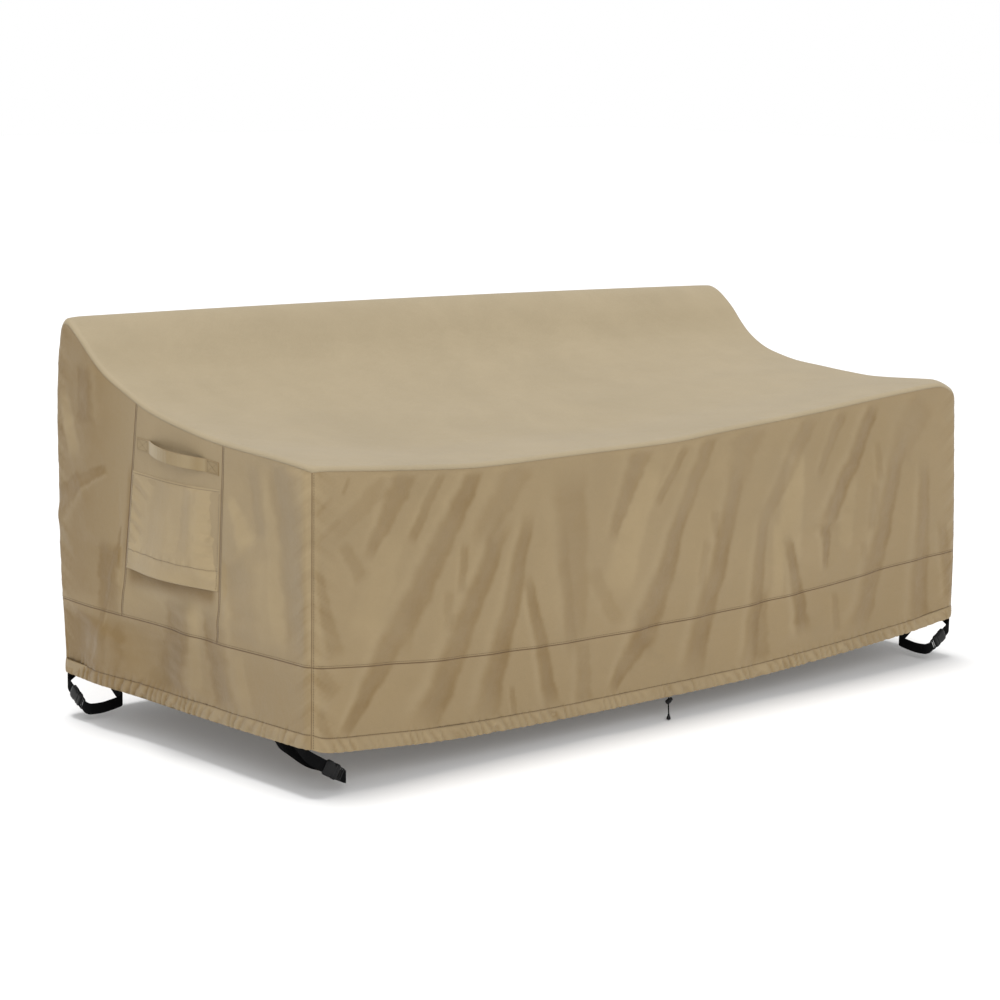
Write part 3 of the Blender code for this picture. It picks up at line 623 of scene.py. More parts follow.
def rounded(x, y):
    """Plan points moved to the round corners, and the direction out of the wall there.

    Each corner's square is mapped to a quarter of a disc: a * sqrt(1 - b^2 / 2) and the same
    the other way round.
    """
    sign = np.stack([np.where(x < 0, -1.0, 1.0), np.where(y < DEPTH / 2, -1.0, 1.0)], -1)
    a = 1 - (HALF_WIDTH - np.abs(x)) / CORNER_RADIUS
    b = 1 - np.minimum(y, DEPTH - y) / CORNER_RADIUS
    corner = ((a > 0) & (b > 0))[..., None]
    a_in, b_in = np.clip(a, 0, 1), np.clip(b, 0, 1)
    spot = np.stack([a_in * np.sqrt(1 - b_in**2 / 2), b_in * np.sqrt(1 - a_in**2 / 2)], -1)
    move = (spot - np.stack([a_in, b_in], -1)) * CORNER_RADIUS * sign
    plan = np.stack([x, y], -1) + np.where(corner, move, 0.0)
    length = np.maximum(np.linalg.norm(spot, axis=-1, keepdims=True), 1e-9)
    straight = sign * np.stack([a > b, a <= b], -1)
    return plan, np.where(corner, spot * sign / length, straight)


def bulged(points):
    """Points moved by the slow bulges of the walls."""
    x, y, z = np.moveaxis(points, -1, 0)
    rear = between(BULGE_REAR, y)
    right = curve(BULGE, "right", z) * (1 - rear) + curve(BULGE, "right_rear", z) * rear
    side = np.where(x < 0, -curve(BULGE, "left", z) * rear, right)
    x = x + side * np.abs(x / HALF_WIDTH) ** 3
    middle = 1 - np.minimum(np.abs(x / HALF_WIDTH), 1) ** 4
    y = y + curve(BULGE, "back", z) * (y / DEPTH) ** 3
    y = y - curve(BULGE, "front", z) * np.maximum(0.0, 1 - y / DEPTH) ** 3 * middle
    return np.stack([x, y, z], -1)


def raised(plan, z):
    """Points in space from plan points and heights."""
    return np.concatenate([np.broadcast_to(plan, (*z.shape, 2)), z[..., None]], -1)


print("left rear corner at 0.3 m:", bulged(np.array([-HALF_WIDTH, DEPTH, 0.3])).round(4))


# %% [markdown]
# ## Folds
#
# Where a hanging cloth is pulled, it lies in long slanting planes. A plane that faces away
# from the light looks like a broad dark band with soft edges, and one that faces it looks
# light. So each fold is a band of painted shade on the wall, with painted light along one
# edge, and across it the cloth goes in like a ramp, sin(pi / 2 * q), where q is the distance
# over the band's half width; beside the band it comes slowly back. Each row of the table is
# one fold, given from its upper to its lower end: the place along the wall and the height
# of both ends, and the half width there, in mm, then its strength in percent. A negative strength
# is painted light, where the plane faces the light.

# %% Table of folds
# along and height of the upper end, then of the lower end, half widths of both, strength
FOLDS = {
    "front": (
        (-745, 565, -865, 360, 36, 12, 70), (-800, 530, -960, 420, 22, 18, 35),
        (-655, 545, -760, 385, 10, 13, 60), (-555, 565, -800, 165, 20, 44, 80),
        (-770, 230, -925, 5, 40, 12, 80), (-435, 545, -580, 360, 42, 24, 45),
        (-485, 430, -715, -20, 22, 42, 85), (-603, 380, -620, 265, 11, 10, 55),
        (-648, 285, -650, 190, 12, 12, 40), (-425, 440, -540, -30, 16, 38, 85),
        (-462, 55, -455, -20, 7, 9, 50), (-435, 300, -340, -30, 12, 24, 85),
        (-310, 520, -285, 100, 52, 30, 42), (-350, 400, -290, 80, 22, 16, 35),
        (-245, 280, -160, 140, 20, 18, 30), (-265, 130, -250, -30, 18, 26, 50),
        (-80, 560, -190, 320, 38, 14, 65), (45, 525, -60, 390, 12, 11, 65),
        (145, 575, 5, 330, 22, 24, 60), (40, 400, -95, 60, 20, 52, 80),
        (-60, 130, -180, -10, 44, 12, 75), (270, 575, 185, 400, 46, 40, 35),
        (215, 480, 75, -30, 26, 38, 75), (128, 370, 135, 295, 13, 10, 50),
        (108, 310, 92, 180, 12, 12, 35), (465, 565, 300, 320, 28, 20, 50),
        (305, 370, 262, -30, 20, 26, 65), (570, 565, 470, 395, 19, 11, 60),
        (690, 580, 505, 270, 22, 32, 85), (508, 300, 516, 175, 26, 8, 80),
        (370, 290, 462, 25, 13, 28, 100), (300, 170, 305, -20, 22, 34, 50),
        (548, 130, 570, 20, 10, 13, 45), (870, 565, 765, 420, 48, 40, 30),
        (785, 485, 632, -20, 28, 39, 70), (682, 375, 668, 250, 15, 14, 40),
        (688, 475, 700, 370, 10, 13, 40), (642, 240, 652, 155, 12, 12, 35),
        (868, 440, 862, -30, 18, 40, 60), (935, 260, 985, 40, 18, 22, 50),
        (-990, 380, -935, 170, 11, 22, 50), (-925, 415, -870, 325, 14, 17, 42),
        (-995, 165, -935, 100, 22, 20, 40), (-985, 80, -950, 5, 14, 12, 40),
        (-905, 545, -925, 505, 5, 5, 50), (-925, 462, -990, 418, 8, 6, 45),
        (-945, 505, -998, 470, 7, 6, 40), (405, 490, 380, 200, 24, 40, -60),
        (350, 330, 355, 120, 14, 16, -50), (600, 400, 575, 215, 22, 20, -40),
        (-790, 430, -880, 200, 30, 40, -35), (-45, 540, -185, 200, 30, 40, -45),
    ),
    "left": (
        (100, 600, 30, 150, 48, 45, 59), (235, 360, 220, 160, 50, 45, 45),
        (195, 560, 165, 390, 18, 20, 39), (272, 480, 205, 370, 8, 34, -60),
        (150, 585, 95, 170, 22, 30, -33), (450, 265, 475, 20, 46, 50, 95),
        (345, 275, 280, 10, 36, 38, 78), (400, 255, 385, 30, 16, 20, -52),
        (240, 165, 205, 10, 14, 22, -33), (625, 480, 662, 250, 9, 13, 65),
        (655, 345, 770, 0, 7, 9, 50), (690, 330, 700, 150, 30, 40, 59),
        (690, 480, 800, 435, 9, 14, 85), (780, 455, 900, 350, 16, 34, 59),
        (775, 700, 760, 560, 22, 30, 43), (850, 640, 800, 480, 14, 20, -51),
        (760, 150, 790, -20, 50, 60, 68), (600, 150, 600, 20, 50, 50, -33),
    ),
    "flap": (
        (345, 500, 340, 285, 30, 36, -90), (408, 500, 412, 320, 14, 20, 45),
        (500, 500, 520, 300, 30, 40, 30), (622, 478, 545, 425, 10, 8, 50),
        (628, 430, 575, 385, 6, 7, 50), (632, 395, 570, 350, 6, 8, 55),
        (634, 355, 590, 330, 5, 6, 45), (302, 445, 345, 405, 5, 6, 60),
        (304, 405, 350, 365, 5, 7, 60), (306, 370, 340, 345, 5, 5, 50),
        (600, 410, 585, 290, 20, 20, -30),
    ),
    "right": (
        (130, 500, 80, -20, 30, 36, 40), (300, 560, 200, -20, 26, 40, 42),
        (480, 520, 400, 20, 30, 44, 42), (600, 440, 560, 50, 18, 26, 30),
        (760, 640, 680, 20, 30, 44, 42), (380, 500, 330, 200, 40, 40, -30),
    ),
    "back": (
        (-880, 640, -930, 100, 30, 40, 40), (-600, 720, -780, 0, 46, 60, 42),
        (-480, 560, -560, -20, 24, 40, 32), (-220, 660, -340, -20, 50, 56, 40),
        (-80, 480, -120, 100, 18, 26, 28), (220, 720, 80, -20, 44, 60, 42),
        (360, 500, 300, 20, 22, 34, 30), (620, 680, 520, -20, 42, 50, 40),
        (860, 640, 900, 60, 28, 40, 35), (740, 420, 700, 0, 20, 30, 28),
        (-400, 640, -440, 200, 50, 50, -35), (420, 640, 400, 200, 55, 50, -35),
    ),
}
print("folds:", {wall: len(rows) for wall, rows in FOLDS.items()})

# %% Relief of the folds
FOLD_SLOPE = 0.16  # how steeply the cloth goes in across a fold
FOLD_ENDS = 0.18  # share of a fold's length over which it fades in and out
PAINTED_EDGE_LIGHT = 0.30  # how light the edge beside a fold is


def wobble(at, seed=0.0):
    """A smooth uneven line between about -1 and 1: four sine waves that never meet again."""
    at = np.asarray(at, float)
    first = np.sin(at + seed) + 0.7 * np.sin(2.3 * at + 1.7 * seed + 1)
    return (first + 0.5 * np.sin(4.9 * at - seed + 2) + 0.35 * np.sin(7.7 * at + 0.6 * seed)) / 2.1


def near(distance, width):
    """1 at a line and 0 away from it: exp(-(d / width)^2)."""
    return np.exp(-((distance / width) ** 2))


def folds(wall, along, z):
    """How far the folds move a wall out, and their painted shade above 0 and painted light below 0.
    """
    out, light = np.zeros((2, *np.shape(along)))
    clear = np.ones(np.shape(along))
    for *line, percent in FOLDS[wall]:
        along_0, z_0, along_1, z_1, half_0, half_1 = np.array(line) / 1000
        strength = abs(percent) / 100
        run = np.array([along_1 - along_0, z_1 - z_0])
        length = math.hypot(*run)
        t = ((along - along_0) * run[0] + (z - z_0) * run[1]) / length**2
        side = ((z - z_0) * run[0] - (along - along_0) * run[1]) / length
        half = half_0 + (half_1 - half_0) * np.clip(t, 0, 1)
        uneven = 0.16 * wobble(7 * t, 40 * along_0) + 0.09 * wobble(23 * t, 55 * along_0)
        side = side + half * uneven
        window = ease(t / FOLD_ENDS) * ease((1 - t) / FOLD_ENDS)
        q = side / half
        ramp = np.sin(np.pi / 2 * np.clip(q, -1, 1)) * near(np.maximum(np.abs(q) - 1, 0), 2)
        slope = FOLD_SLOPE * np.sign(percent) * min(1.0, strength * 1.2)
        out -= slope * half * ramp * window
        soft = 0.004 + half * np.where(side < 0, 0.70, 0.38)
        band = ease((half + soft / 2 - np.abs(side)) / soft) * window * strength
        band = band * (0.86 + 0.16 * wobble(5 * t, 70 * along_1))
        if percent > 0:
            clear *= 1 - band * (0.86 + 0.14 * np.clip(q, -1, 1))
            band = PAINTED_EDGE_LIGHT * strength * window * near(q + 1.45, 0.40)
        light = np.maximum(light, band)
    return out, 1 - clear - light * clear


moved, tone = folds("front", np.linspace(-1, 1, 400), np.full(400, 0.35))
print("front folds at 0.35 m: depth", np.ptp(moved).round(4), "darkest", tone.max().round(2))

# %% [markdown]
# ## Cloth as a surface of two numbers
#
# A wall's cloth is a function of two numbers: how far along the wall, and how high. From
# these come the place on the plain wall, the direction out of it, and how far the cloth
# stands out there. Stitches use the same function, so they always lie on their cloth, however
# it folds. Close to a seam both cloths turn in by under a millimetre, and a row of stitches
# pulls a shallow groove.

# %% Casing and left side
WALLS = {  # start, end and the fixed place of each wall
    "front": (-HALF_WIDTH, HALF_WIDTH, 0.0),
    "back": (-HALF_WIDTH, HALF_WIDTH, DEPTH),
    "left": (0.0, DEPTH, -HALF_WIDTH),
    "right": (0.0, DEPTH, HALF_WIDTH),
}
SEAM_ROW = 0.0042  # from a seam to the row of stitches beside it
SIDE_SEAMS = (FRONT_SEAM, REAR_SEAM)
GATHER = 0.024  # from one gather of the casing to the next


def casing_gathers(along, z, hem, casing):
    """The drawcord's gathers: slanting ripples sin(phase), taller where the cord pulls."""
    share = np.clip((z - hem) / (casing - hem), -0.3, 2.4)
    phase = along / GATHER + 0.75 * share
    phase = phase + 0.9 * wobble(along * 9.0, 1.3) + 0.28 * wobble(along * 47.0, 0.6)
    phase = 2 * np.pi * phase
    pull = 0.60 + 0.55 * wobble(along * 33.0, 0.4)
    pull = pull + 0.6 * near(along + 0.50, 0.20) + 0.6 * near(along - 0.52, 0.26)
    inside = ease((share + 0.3) / 0.5) * (1 - 0.5 * near(share - 1, 0.12))
    reach = np.where(share < 1, inside, near(share - 1, 0.45) * 0.5)
    crest = np.sin(phase) + 0.4 * np.sin(2 * phase + 1.0 + wobble(along * 21.0, 0.9))
    return np.clip(pull, 0.12, 1.6) * crest * reach


def left_seams(cut, z, band):
    """How far the two side seams turn the cloth in and pucker it, and their seam tone."""
    seam = np.minimum.reduce([np.abs(cut - place) for place in SIDE_SEAMS])
    row = np.minimum.reduce([np.abs(cut - place + SEAM_ROW) for place in SIDE_SEAMS])
    turned_in = 0.0005 * near(seam, 0.0012) + 0.0002 * near(row, 0.0013)
    pucker = 0.0004 * wobble(z / 0.0042, 0.2) * near(seam, 0.014)
    tone = 0.95 * near(seam, 0.0012) + 0.25 * near(row, 0.0014)
    return (z > band) * (pucker - turned_in), (z > band) * tone


def left_painted_shade(cut, z):
    """The left side's painted shade: how much stronger its fold shade is, and what is added.

    It paints a browner shadow under the flap's edge and beside the seams that the flap pulls
    on, painted light above the band towards the front, and painted shade that gets darker
    towards the rear and the hem, away from the light.
    """
    mouth = ease((cut - FRONT_SEAM) / 0.03) * ease((REAR_SEAM - cut) / 0.03)
    added = 1.3 * mouth * ease((z - 0.222) / 0.042) * ease((0.31 - z) / 0.01)
    pulled = 0.65 * near(cut - REAR_SEAM - 0.004, 0.007)
    pulled = pulled + 0.30 * near(cut - FRONT_SEAM + 0.004, 0.008)
    added = added + pulled * ease((z - 0.27) / 0.05) * ease((0.52 - z) / 0.06)
    rear, lower = ease((cut - 0.50) / 0.26), 0.10 + 0.66 * ease((cut - 0.28) / 0.30)
    added = added - (0.30 - 0.84 * rear) * ease((z - 0.16) / 0.05)
    return 1 + 0.6 * ease((cut - REAR_SEAM) / 0.02), added + lower * (1 - ease((z - 0.12) / 0.06))


print("gathers along the front's casing:", round(WIDTH / GATHER))

# %% Relief of a wall
CASING_PUFF, GATHER_HEIGHT = 0.0015, 0.0017
CORNER_PUCKER, BAND_RIPPLE = 0.0007, 0.00032


def relief(wall, along, z, lines, cut):
    """How far a wall's cloth stands out, its painted light and shade, and its seam tone.

    out = folds * fades + casing's puff and gathers + seam puckers - seam turns - stitch grooves
    """
    hem, casing, band, top = lines
    start, end, _ = WALLS[wall]
    from_corner, above = np.minimum(along - start, end - along), z - band
    moved, painted_light_and_shade = folds(wall, along, z)
    share = np.clip((z - hem) / (casing - hem), 0, 1)
    fade = ease((top - z) / 0.018) * ease(from_corner / 0.014) * (0.35 + 0.65 * ease(share))
    if wall == "left":  # no folds under the flap
        under_flap = (along > FRONT_SEAM) & (along < REAR_SEAM + REAR_LEAN)
        fade = fade * np.where(under_flap, 1 - ease((z - 0.20) / 0.05), 1.0)
    gathers = casing_gathers(along, z, hem, casing) * ease(from_corner / 0.03)
    pucker = wobble(z / 0.011 + 60 * from_corner, 0.5) * near(from_corner - 0.012, 0.040)
    ripple = wobble(along / 0.0041, 0.7) * (0.6 + 0.4 * wobble(along * 11.0, 2.0))
    out = moved * fade * (1 - 0.3 * near(above, 0.03))
    out = out + CASING_PUFF * np.sin(np.pi * share) + GATHER_HEIGHT * gathers
    out = out + CORNER_PUCKER * pucker * ease(from_corner / 0.006) * ease((top - z) / 0.02)
    out = out + BAND_RIPPLE * ripple * near(above, 0.016)
    for distance, depth, width in (  # depth and width in mm
        (above, 0.4, 1.1),
        (above - SEAM_ROW, 0.2, 1.2),
        (z - casing, 0.3, 1.3),
        (top - z, 0.2, 1.1),
        (from_corner, 0.4, 1.2),
        (from_corner - SEAM_ROW, 0.4 * (wall == "front"), 1.2),
    ):
        out = out - depth * MM * near(distance, width * MM)
    rows = 0.40 * near(z - casing, 0.0014) + 0.12 * near(above - SEAM_ROW, 0.0014)
    seams = [0.95 * near(above, 0.0011), 0.15 * near(top - z, 0.0010)]
    seam_dark_and_edge_shade = np.maximum.reduce([rows, *seams, 0.60 * near(from_corner, 0.0012)])

    # Painted light and shade: the casing lighter with darker patches, lighter on the gathers and
    # darker between them, painted shade and light on the corner puckers, and darker towards the
    # bottom of the band.
    in_casing = ease((casing - z) / 0.004)
    casing_tone = 0.14 - 0.34 * np.clip(wobble(along * 19, 1.0), 0, 1)
    painted_light_and_shade = painted_light_and_shade * fade * (1 - 0.5 * in_casing) - casing_tone * in_casing
    painted_light_and_shade = painted_light_and_shade - 0.30 * gathers * (1 - 0.35 * (1 - in_casing))
    painted_light_and_shade = painted_light_and_shade + 0.30 * pucker * (z > casing)
    painted_light_and_shade = painted_light_and_shade + 0.15 * ease((0.22 - z) / 0.12) * (1 - in_casing)
    if wall == "left":
        moved_in, side_tone = left_seams(cut, z, band)
        stronger, added = left_painted_shade(cut, z)
        out, seam_dark_and_edge_shade = out + moved_in, np.maximum(seam_dark_and_edge_shade, side_tone)
        painted_light_and_shade = painted_light_and_shade * stronger + added
    # The front is darker towards its right end.
    if wall == "front":
        painted_light_and_shade = painted_light_and_shade + 0.14 * ease((along - 0.25) / 0.45)
    return out, np.clip(painted_light_and_shade, -1, 1), seam_dark_and_edge_shade


print("casing: puff", CASING_PUFF / MM, "mm, gathers", GATHER_HEIGHT / MM, "mm")


# %% Places on a wall


def wall_lines(wall, along):
    """Plan places along a wall, and the heights of its hem, casing, band and top lines."""
    across = np.full_like(along, WALLS[wall][2])
    x, y = (along, across) if wall in ("front", "back") else (across, along)
    return x, y, [line_height(line, x, y) for line in LINES]


def seam_lean(y, z, band, top):
    """How far back the left side's seams lean: nothing at the top, all of it at the band."""
    return curve(LEAN, "back", y) * np.minimum((top - z) / (top - band), 1.0)


def wall_place(wall, along, z, lift=0.0):
    """Points on a wall's cloth, or a small lift outside it, with its painted light and shade and
    its seam tone there.
    """
    along, z = np.broadcast_arrays(np.asarray(along, float), np.asarray(z, float))
    x, y, lines = wall_lines(wall, along)
    plan, outward = rounded(x, y)
    seen = along
    if wall == "left":
        lean = seam_lean(along, z, *lines[2:])
        plan, seen = plan + lean[..., None] * [0, 1], along + lean
    out, painted_light_and_shade, seam_dark_and_edge_shade = relief(wall, seen, z, lines, along)
    plan = plan + outward * (out + lift)[..., None]
    return bulged(raised(plan, z)), painted_light_and_shade, seam_dark_and_edge_shade


print("front at the middle, 0.3 m up:", wall_place("front", 0.0, 0.3)[0].round(4))

# %% [markdown]
# ## Sheets
#
# A sheet is a grid of points. The grid is finer beside the seams, where the cloth turns
# quickly, and coarser in between. The map that the weave follows is the distance along the
# middle row and the middle column, in metres. A Solidify modifier then gives the sheet its
# thickness, inwards only, so the outer face stays where it was worked out.

# %% Sheet helpers
SEAM_STEPS = np.array([0.0, 0.7, 1.5, 2.5, 3.4, 4.2, 5.2, 6.8, 9.0]) * MM
SEAM_ZONE = SEAM_STEPS[-1]


def stops(start, end, step):
    """Places from start to end, a step apart, with close ones beside both ends."""
    first, last = start + SEAM_STEPS, end - SEAM_STEPS[::-1]
    count = max(2, int(round((last[0] - first[-1]) / step)) + 1)
    return np.concatenate([first, np.linspace(first[-1], last[0], count)[1:-1], last])


def add_sheet(name, points, finish, stands_for, tones, flip=False, thickness=CLOTH):
    """A cloth from a grid of points, given its thickness inwards by a Solidify modifier."""
    rows, columns = points.shape[:2]
    paths = travelled(points[rows // 2]), travelled(points[:, columns // 2])
    cloth_map = np.stack(np.meshgrid(*paths), -1)
    marks = dict(zip(("painted_light_and_shade", "seam_dark_and_edge_shade"), tones))
    faces = grid_faces(rows, columns, flip=flip)
    sheet = add_piece(name, points, faces, finish, (stands_for,), cloth_map, marks, sharp=70)
    thick = sheet.modifiers.new("cloth", "SOLIDIFY")
    thick.thickness, thick.offset = thickness, -1.0
    return sheet


print("stops on 0.1 m:", len(stops(0.0, 0.1, 0.005)))


# %% [markdown]
# ## Walls above the band
#
# The front is one cloth from corner to corner. It carries the long slanting folds, because
# its upper edge hangs lower in the middle than at the corners. The left side is three cloths
# with two leaning seams between them. The right side and the back can't be seen, and are
# plain cloths of the same kind with slower folds.

# %% Wall cloths
WALL_CLOTHS = {  # wall, start, end, step of the grid, the solid that it replaces
    "front_cloth": ("front", -HALF_WIDTH, HALF_WIDTH, 0.0052, "front_panel"),
    "left_front_cloth": ("left", 0.0, FRONT_SEAM, 0.005, "left_front_panel"),
    "left_vent_cloth": ("left", FRONT_SEAM, REAR_SEAM, 0.005, "left_vent_panel"),
    "left_rear_cloth": ("left", REAR_SEAM, DEPTH, 0.005, "left_rear_panel"),
    "right_cloth": ("right", 0.0, DEPTH, 0.008, "right_panel"),
    "back_cloth": ("back", -HALF_WIDTH, HALF_WIDTH, 0.010, "back_panel"),
}
WALL_HEIGHT = 0.38  # the usual height from the band to the top, which sets the rows


def add_wall(name, wall, start, end, step, stands_for):
    """One cloth of a wall: height = band + lift + share * (top - band - both seam zones)."""
    along = stops(start, end, step)
    *_, band, top = wall_lines(wall, along)[2]
    inner = np.linspace(0, 1, max(2, int(round(WALL_HEIGHT / step))))
    close = SEAM_STEPS[:-1]
    lifts = [close, np.full(len(inner), SEAM_ZONE), 2 * SEAM_ZONE - close[::-1]]
    shares = np.concatenate([0 * close, inner, 0 * close + 1])[:, None]
    z = band + np.concatenate(lifts)[:, None] + shares * (top - band - 2 * SEAM_ZONE)
    points, *tones = wall_place(wall, along, z)
    return add_sheet(name, points, shaded_wall_finish, stands_for, tones, wall in ("left", "back"))


cloths = {name: add_wall(name, *row) for name, row in WALL_CLOTHS.items()}
print("wall cloths:", len(cloths))

# %% [markdown]
# ## The lower band and its hem
#
# The band is folded in at its lower edge and stitched, which makes the casing for the
# drawcord. So its grid doesn't stop at the hem: it goes down the outside, round the fold in
# a small half circle, and flat up the inside as far as the row of stitches.

# %% Band cloths
HEM_DEPTH = 0.0020  # from the outside to the inside of the folded hem
HEM_RISE = 0.0015  # how high the fold ends on the inside
CASING_STEPS = np.array([1.8, 0.9, 0.0, -0.9, -1.8, -3.2]) * MM
BAND_STEPS = {"front": 0.0045, "left": 0.0045, "right": 0.006, "back": 0.007}


def band_grid(wall, along):
    """Down the outside, round the hem and up the inside to the casing's stitches."""
    x, y, (hem, casing, band, _) = wall_lines(wall, along)
    below = casing + CASING_STEPS[-1]
    down, lower = np.linspace(0, 1, 22)[:, None], np.linspace(0, 1, 8)[1:, None]
    z_rows = [
        band - SEAM_STEPS[:-1, None],
        band - SEAM_ZONE - (band - casing - SEAM_ZONE - 0.003) * down,
        casing + CASING_STEPS[:, None],
        below - (below - hem - 0.002) * lower,
    ]
    outer, *tones = wall_place(wall, along, np.concatenate(z_rows))
    plan, outward = rounded(x, y)
    height = casing - 0.001 - hem - HEM_RISE
    rise = hem + HEM_RISE + height * np.linspace(0, 1, 7)[:, None]
    inner = bulged(raised(plan - outward * HEM_DEPTH, rise))
    turn = np.linspace(0, np.pi, 8)[1:-1, None, None]
    middle, arm = (outer[-1] + inner[0]) / 2, (outer[-1] - inner[0]) / 2
    deep = np.linalg.norm(arm, axis=-1)[:, None] * -ALONG_Z
    fold = middle + arm * np.cos(turn) + deep * np.sin(turn)
    fold[..., 2] = np.maximum(fold[..., 2], hem)
    plain = np.zeros((len(fold) + len(inner), len(along)))
    return np.concatenate([outer, fold, inner]), [np.concatenate([t, plain]) for t in tones]


for wall, step in BAND_STEPS.items():
    name, along = f"{wall}_band", stops(*WALLS[wall][:2], step)
    points, tones = band_grid(wall, along)
    flip = wall not in ("left", "back")
    cloths[name] = add_sheet(name + "_cloth", points, shaded_wall_finish, name, tones, flip)
print("wall and band cloths:", len(cloths))

# %% [markdown]
# ## The top cloth
#
# One long cloth covers the low front part, rises to the ridge and rolls over every edge to
# its seam. Its height is a function of the place seen from above. Near an edge it drops like
# a quarter of a tube, and at the corners like a quarter of a ball.

# %% Top cloth


def top_place(x, y):
    """Points on the top: its height rolls over near the edges as 1 - sqrt(1 - s^2)."""
    to_side = HALF_WIDTH - np.abs(x)
    across = np.maximum(0.0, 1 - to_side / EDGE_ROLL)
    along = np.maximum.reduce([0 * y, 1 - y / EDGE_ROLL, 1 - (DEPTH - y) / RIDGE_ROLL])
    share = across**2 + along**2 - across**2 * along**2
    z = top_height(x, y) - edge_drop(y) * (1 - np.sqrt(np.maximum(0.0, 1 - share)))
    inside = ease(to_side / 0.05) * ease(y / 0.03) * ease((DEPTH - y) / 0.10)
    wave = 0.0009 * wobble(x * 9 + 2 * y, 0.3) * wobble(y * 13 - x, 1.1)
    wave = wave + 0.0007 * wobble(x * 26, 2.2) * near(y - 0.03, 0.07)
    wave = wave + 0.0006 * wobble(y * 30 + 4 * x, 0.9) * near(HALF_WIDTH + x, 0.15)
    edge = np.minimum.reduce([to_side, y, DEPTH - y])
    return bulged(raised(rounded(x, y)[0], z + inside * wave)), 0.1 * near(edge, 0.00025)


def edge_stops(roll, count=9):
    """Distances in from an edge that follow its quarter round evenly."""
    return roll * (1 - np.sin(np.linspace(np.pi / 2, 0, count)))


def rolled_stops(start, end, first, last, count):
    """Stops from start to end: close ones in both edges' rolls, and even ones between."""
    even = np.linspace(start + first[-1], end - last[-1], count)[1:-1]
    return np.concatenate([start + first, even, end - last[::-1]])


side, ridge = edge_stops(EDGE_ROLL), edge_stops(RIDGE_ROLL, 12)
top_x = rolled_stops(-HALF_WIDTH, HALF_WIDTH, side, side, 198)
top_y = rolled_stops(0.0, DEPTH, side, ridge, 92)
points, seam_dark_and_edge_shade = top_place(*np.meshgrid(top_x, top_y))
tones = 0 * seam_dark_and_edge_shade, seam_dark_and_edge_shade
top_cloth = add_sheet("top_cloth", points, lit_top_finish, "top_panel", tones)
print("top cloth: highest", points[..., 2].max().round(4), "lowest", points[..., 2].min().round(4))

# %% [markdown]
# ## The vent flap
#
# The flap is sewn along its top and both sides, between the two side seams, and left open
# below so that air gets out and rain doesn't get in. It stands out more and more towards its
# free edge. Fine puckers fan in from both side seams, and a wide hem ends in a wavy row.

# %% Flap
FLAP_TOP, FLAP_BOTTOM, FLAP_DIP = 0.485, 0.272, 0.005
FLAP_MARGIN, STAND_OFF, FLAP_BOW = 0.003, 0.0005, 0.024
FLAP_TALL, FLAP_WIDE = FLAP_TOP - FLAP_BOTTOM, REAR_SEAM - FRONT_SEAM - 2 * FLAP_MARGIN
FLAP_HEM = 0.313  # height of the hem's row of stitches
FLAP_ROW = 0.005  # from the top edge to its row of stitches
PUCKER, PUCKER_STEP = 0.0006, 0.021
HEM_RIPPLE = 0.0045
# Painted light: the whole flap is painted lighter, as it faces up a little.
FLAP_PAINTED_LIGHT = -0.66  # the flap faces up a little, so it is lighter


def hem_wave(y):
    """How far the hem's row of stitches wanders up and down."""
    return 0.0012 * wobble(y * 90, 0.4)


def off_left_wall(y, z, out):
    """Points off the left wall, which lean and bulge with it."""
    across = np.full_like(y, -HALF_WIDTH)
    band, top = line_height("band", across, y), line_height("top", across, y)
    return bulged(np.stack([across - out, y + seam_lean(y, z, band, top), z], -1))


def flap_place(share, down, lift=0.0):
    """Points of the flap, with its painted light and shade and its seam tone.

    out = bow * sin(pi * share)^1.2 * down^1.6 + folds + puckers + hem ripple - stitch grooves
    """
    share, down = np.broadcast_arrays(np.asarray(share, float), np.asarray(down, float))
    y = FRONT_SEAM + FLAP_MARGIN + FLAP_WIDE * share
    z = FLAP_TOP - FLAP_TALL * down - FLAP_DIP * np.sin(np.pi * share) * (1 - down)
    side, below_top = np.minimum(share, 1 - share) * FLAP_WIDE, down * FLAP_TALL
    seen = y + curve(LEAN, "back", y) * np.clip((0.56 - z) / 0.39, 0, 1)
    moved, painted_light_and_shade = folds("flap", seen, z)
    row = z - FLAP_HEM - hem_wave(y)
    ripple = wobble(y / HEM_RIPPLE, 0.8)
    turn = 2 * np.pi * ((z - 0.4) / PUCKER_STEP + side / 0.06) + 1.5 * wobble(z * 30, 0.2)
    fan = PUCKER * (1 + np.sin(turn)) * near(side - 0.012, 0.022) * ease(down / 0.12)
    fan = fan * ease((FLAP_BOTTOM - z + 0.30) / 0.1) * ease(side / 0.006)
    sewn = 0.25 + 0.75 * np.minimum(ease(side / 0.005), ease(below_top / 0.006))
    out = FLAP_BOW * np.sin(np.pi * np.clip(share, 0, 1)) ** 1.2 * down**1.6
    out = out + (STAND_OFF + CLOTH) * sewn + fan
    out = out + moved * ease(side / 0.012) * ease(down / 0.05)
    out = out + 0.0006 * near(row, 0.0075) * ripple * ease(side / 0.02)
    for distance, depth, width in (  # depth and width in mm
        (row, 0.1, 1.3),
        (z - FLAP_BOTTOM, -0.3, 3.0),
        (side - SEAM_ROW, 0.4, 1.2),
        (below_top - FLAP_ROW, 0.4, 1.2),
    ):
        out = out - depth * MM * near(distance, width * MM)
    edges = 0.4 * near(side, 0.0009) + 0.25 * near(below_top, 0.0009)
    seam_dark_and_edge_shade = np.maximum(0.05 * near(row, 0.002), edges)
    # Painted light over the whole flap, and painted light and shade on the ripples of its hem.
    painted_light_and_shade = painted_light_and_shade + FLAP_PAINTED_LIGHT + 0.5 * near(row - 0.004, 0.007) * ripple
    return off_left_wall(y, z, out + lift), np.clip(painted_light_and_shade, -1, 1), seam_dark_and_edge_shade


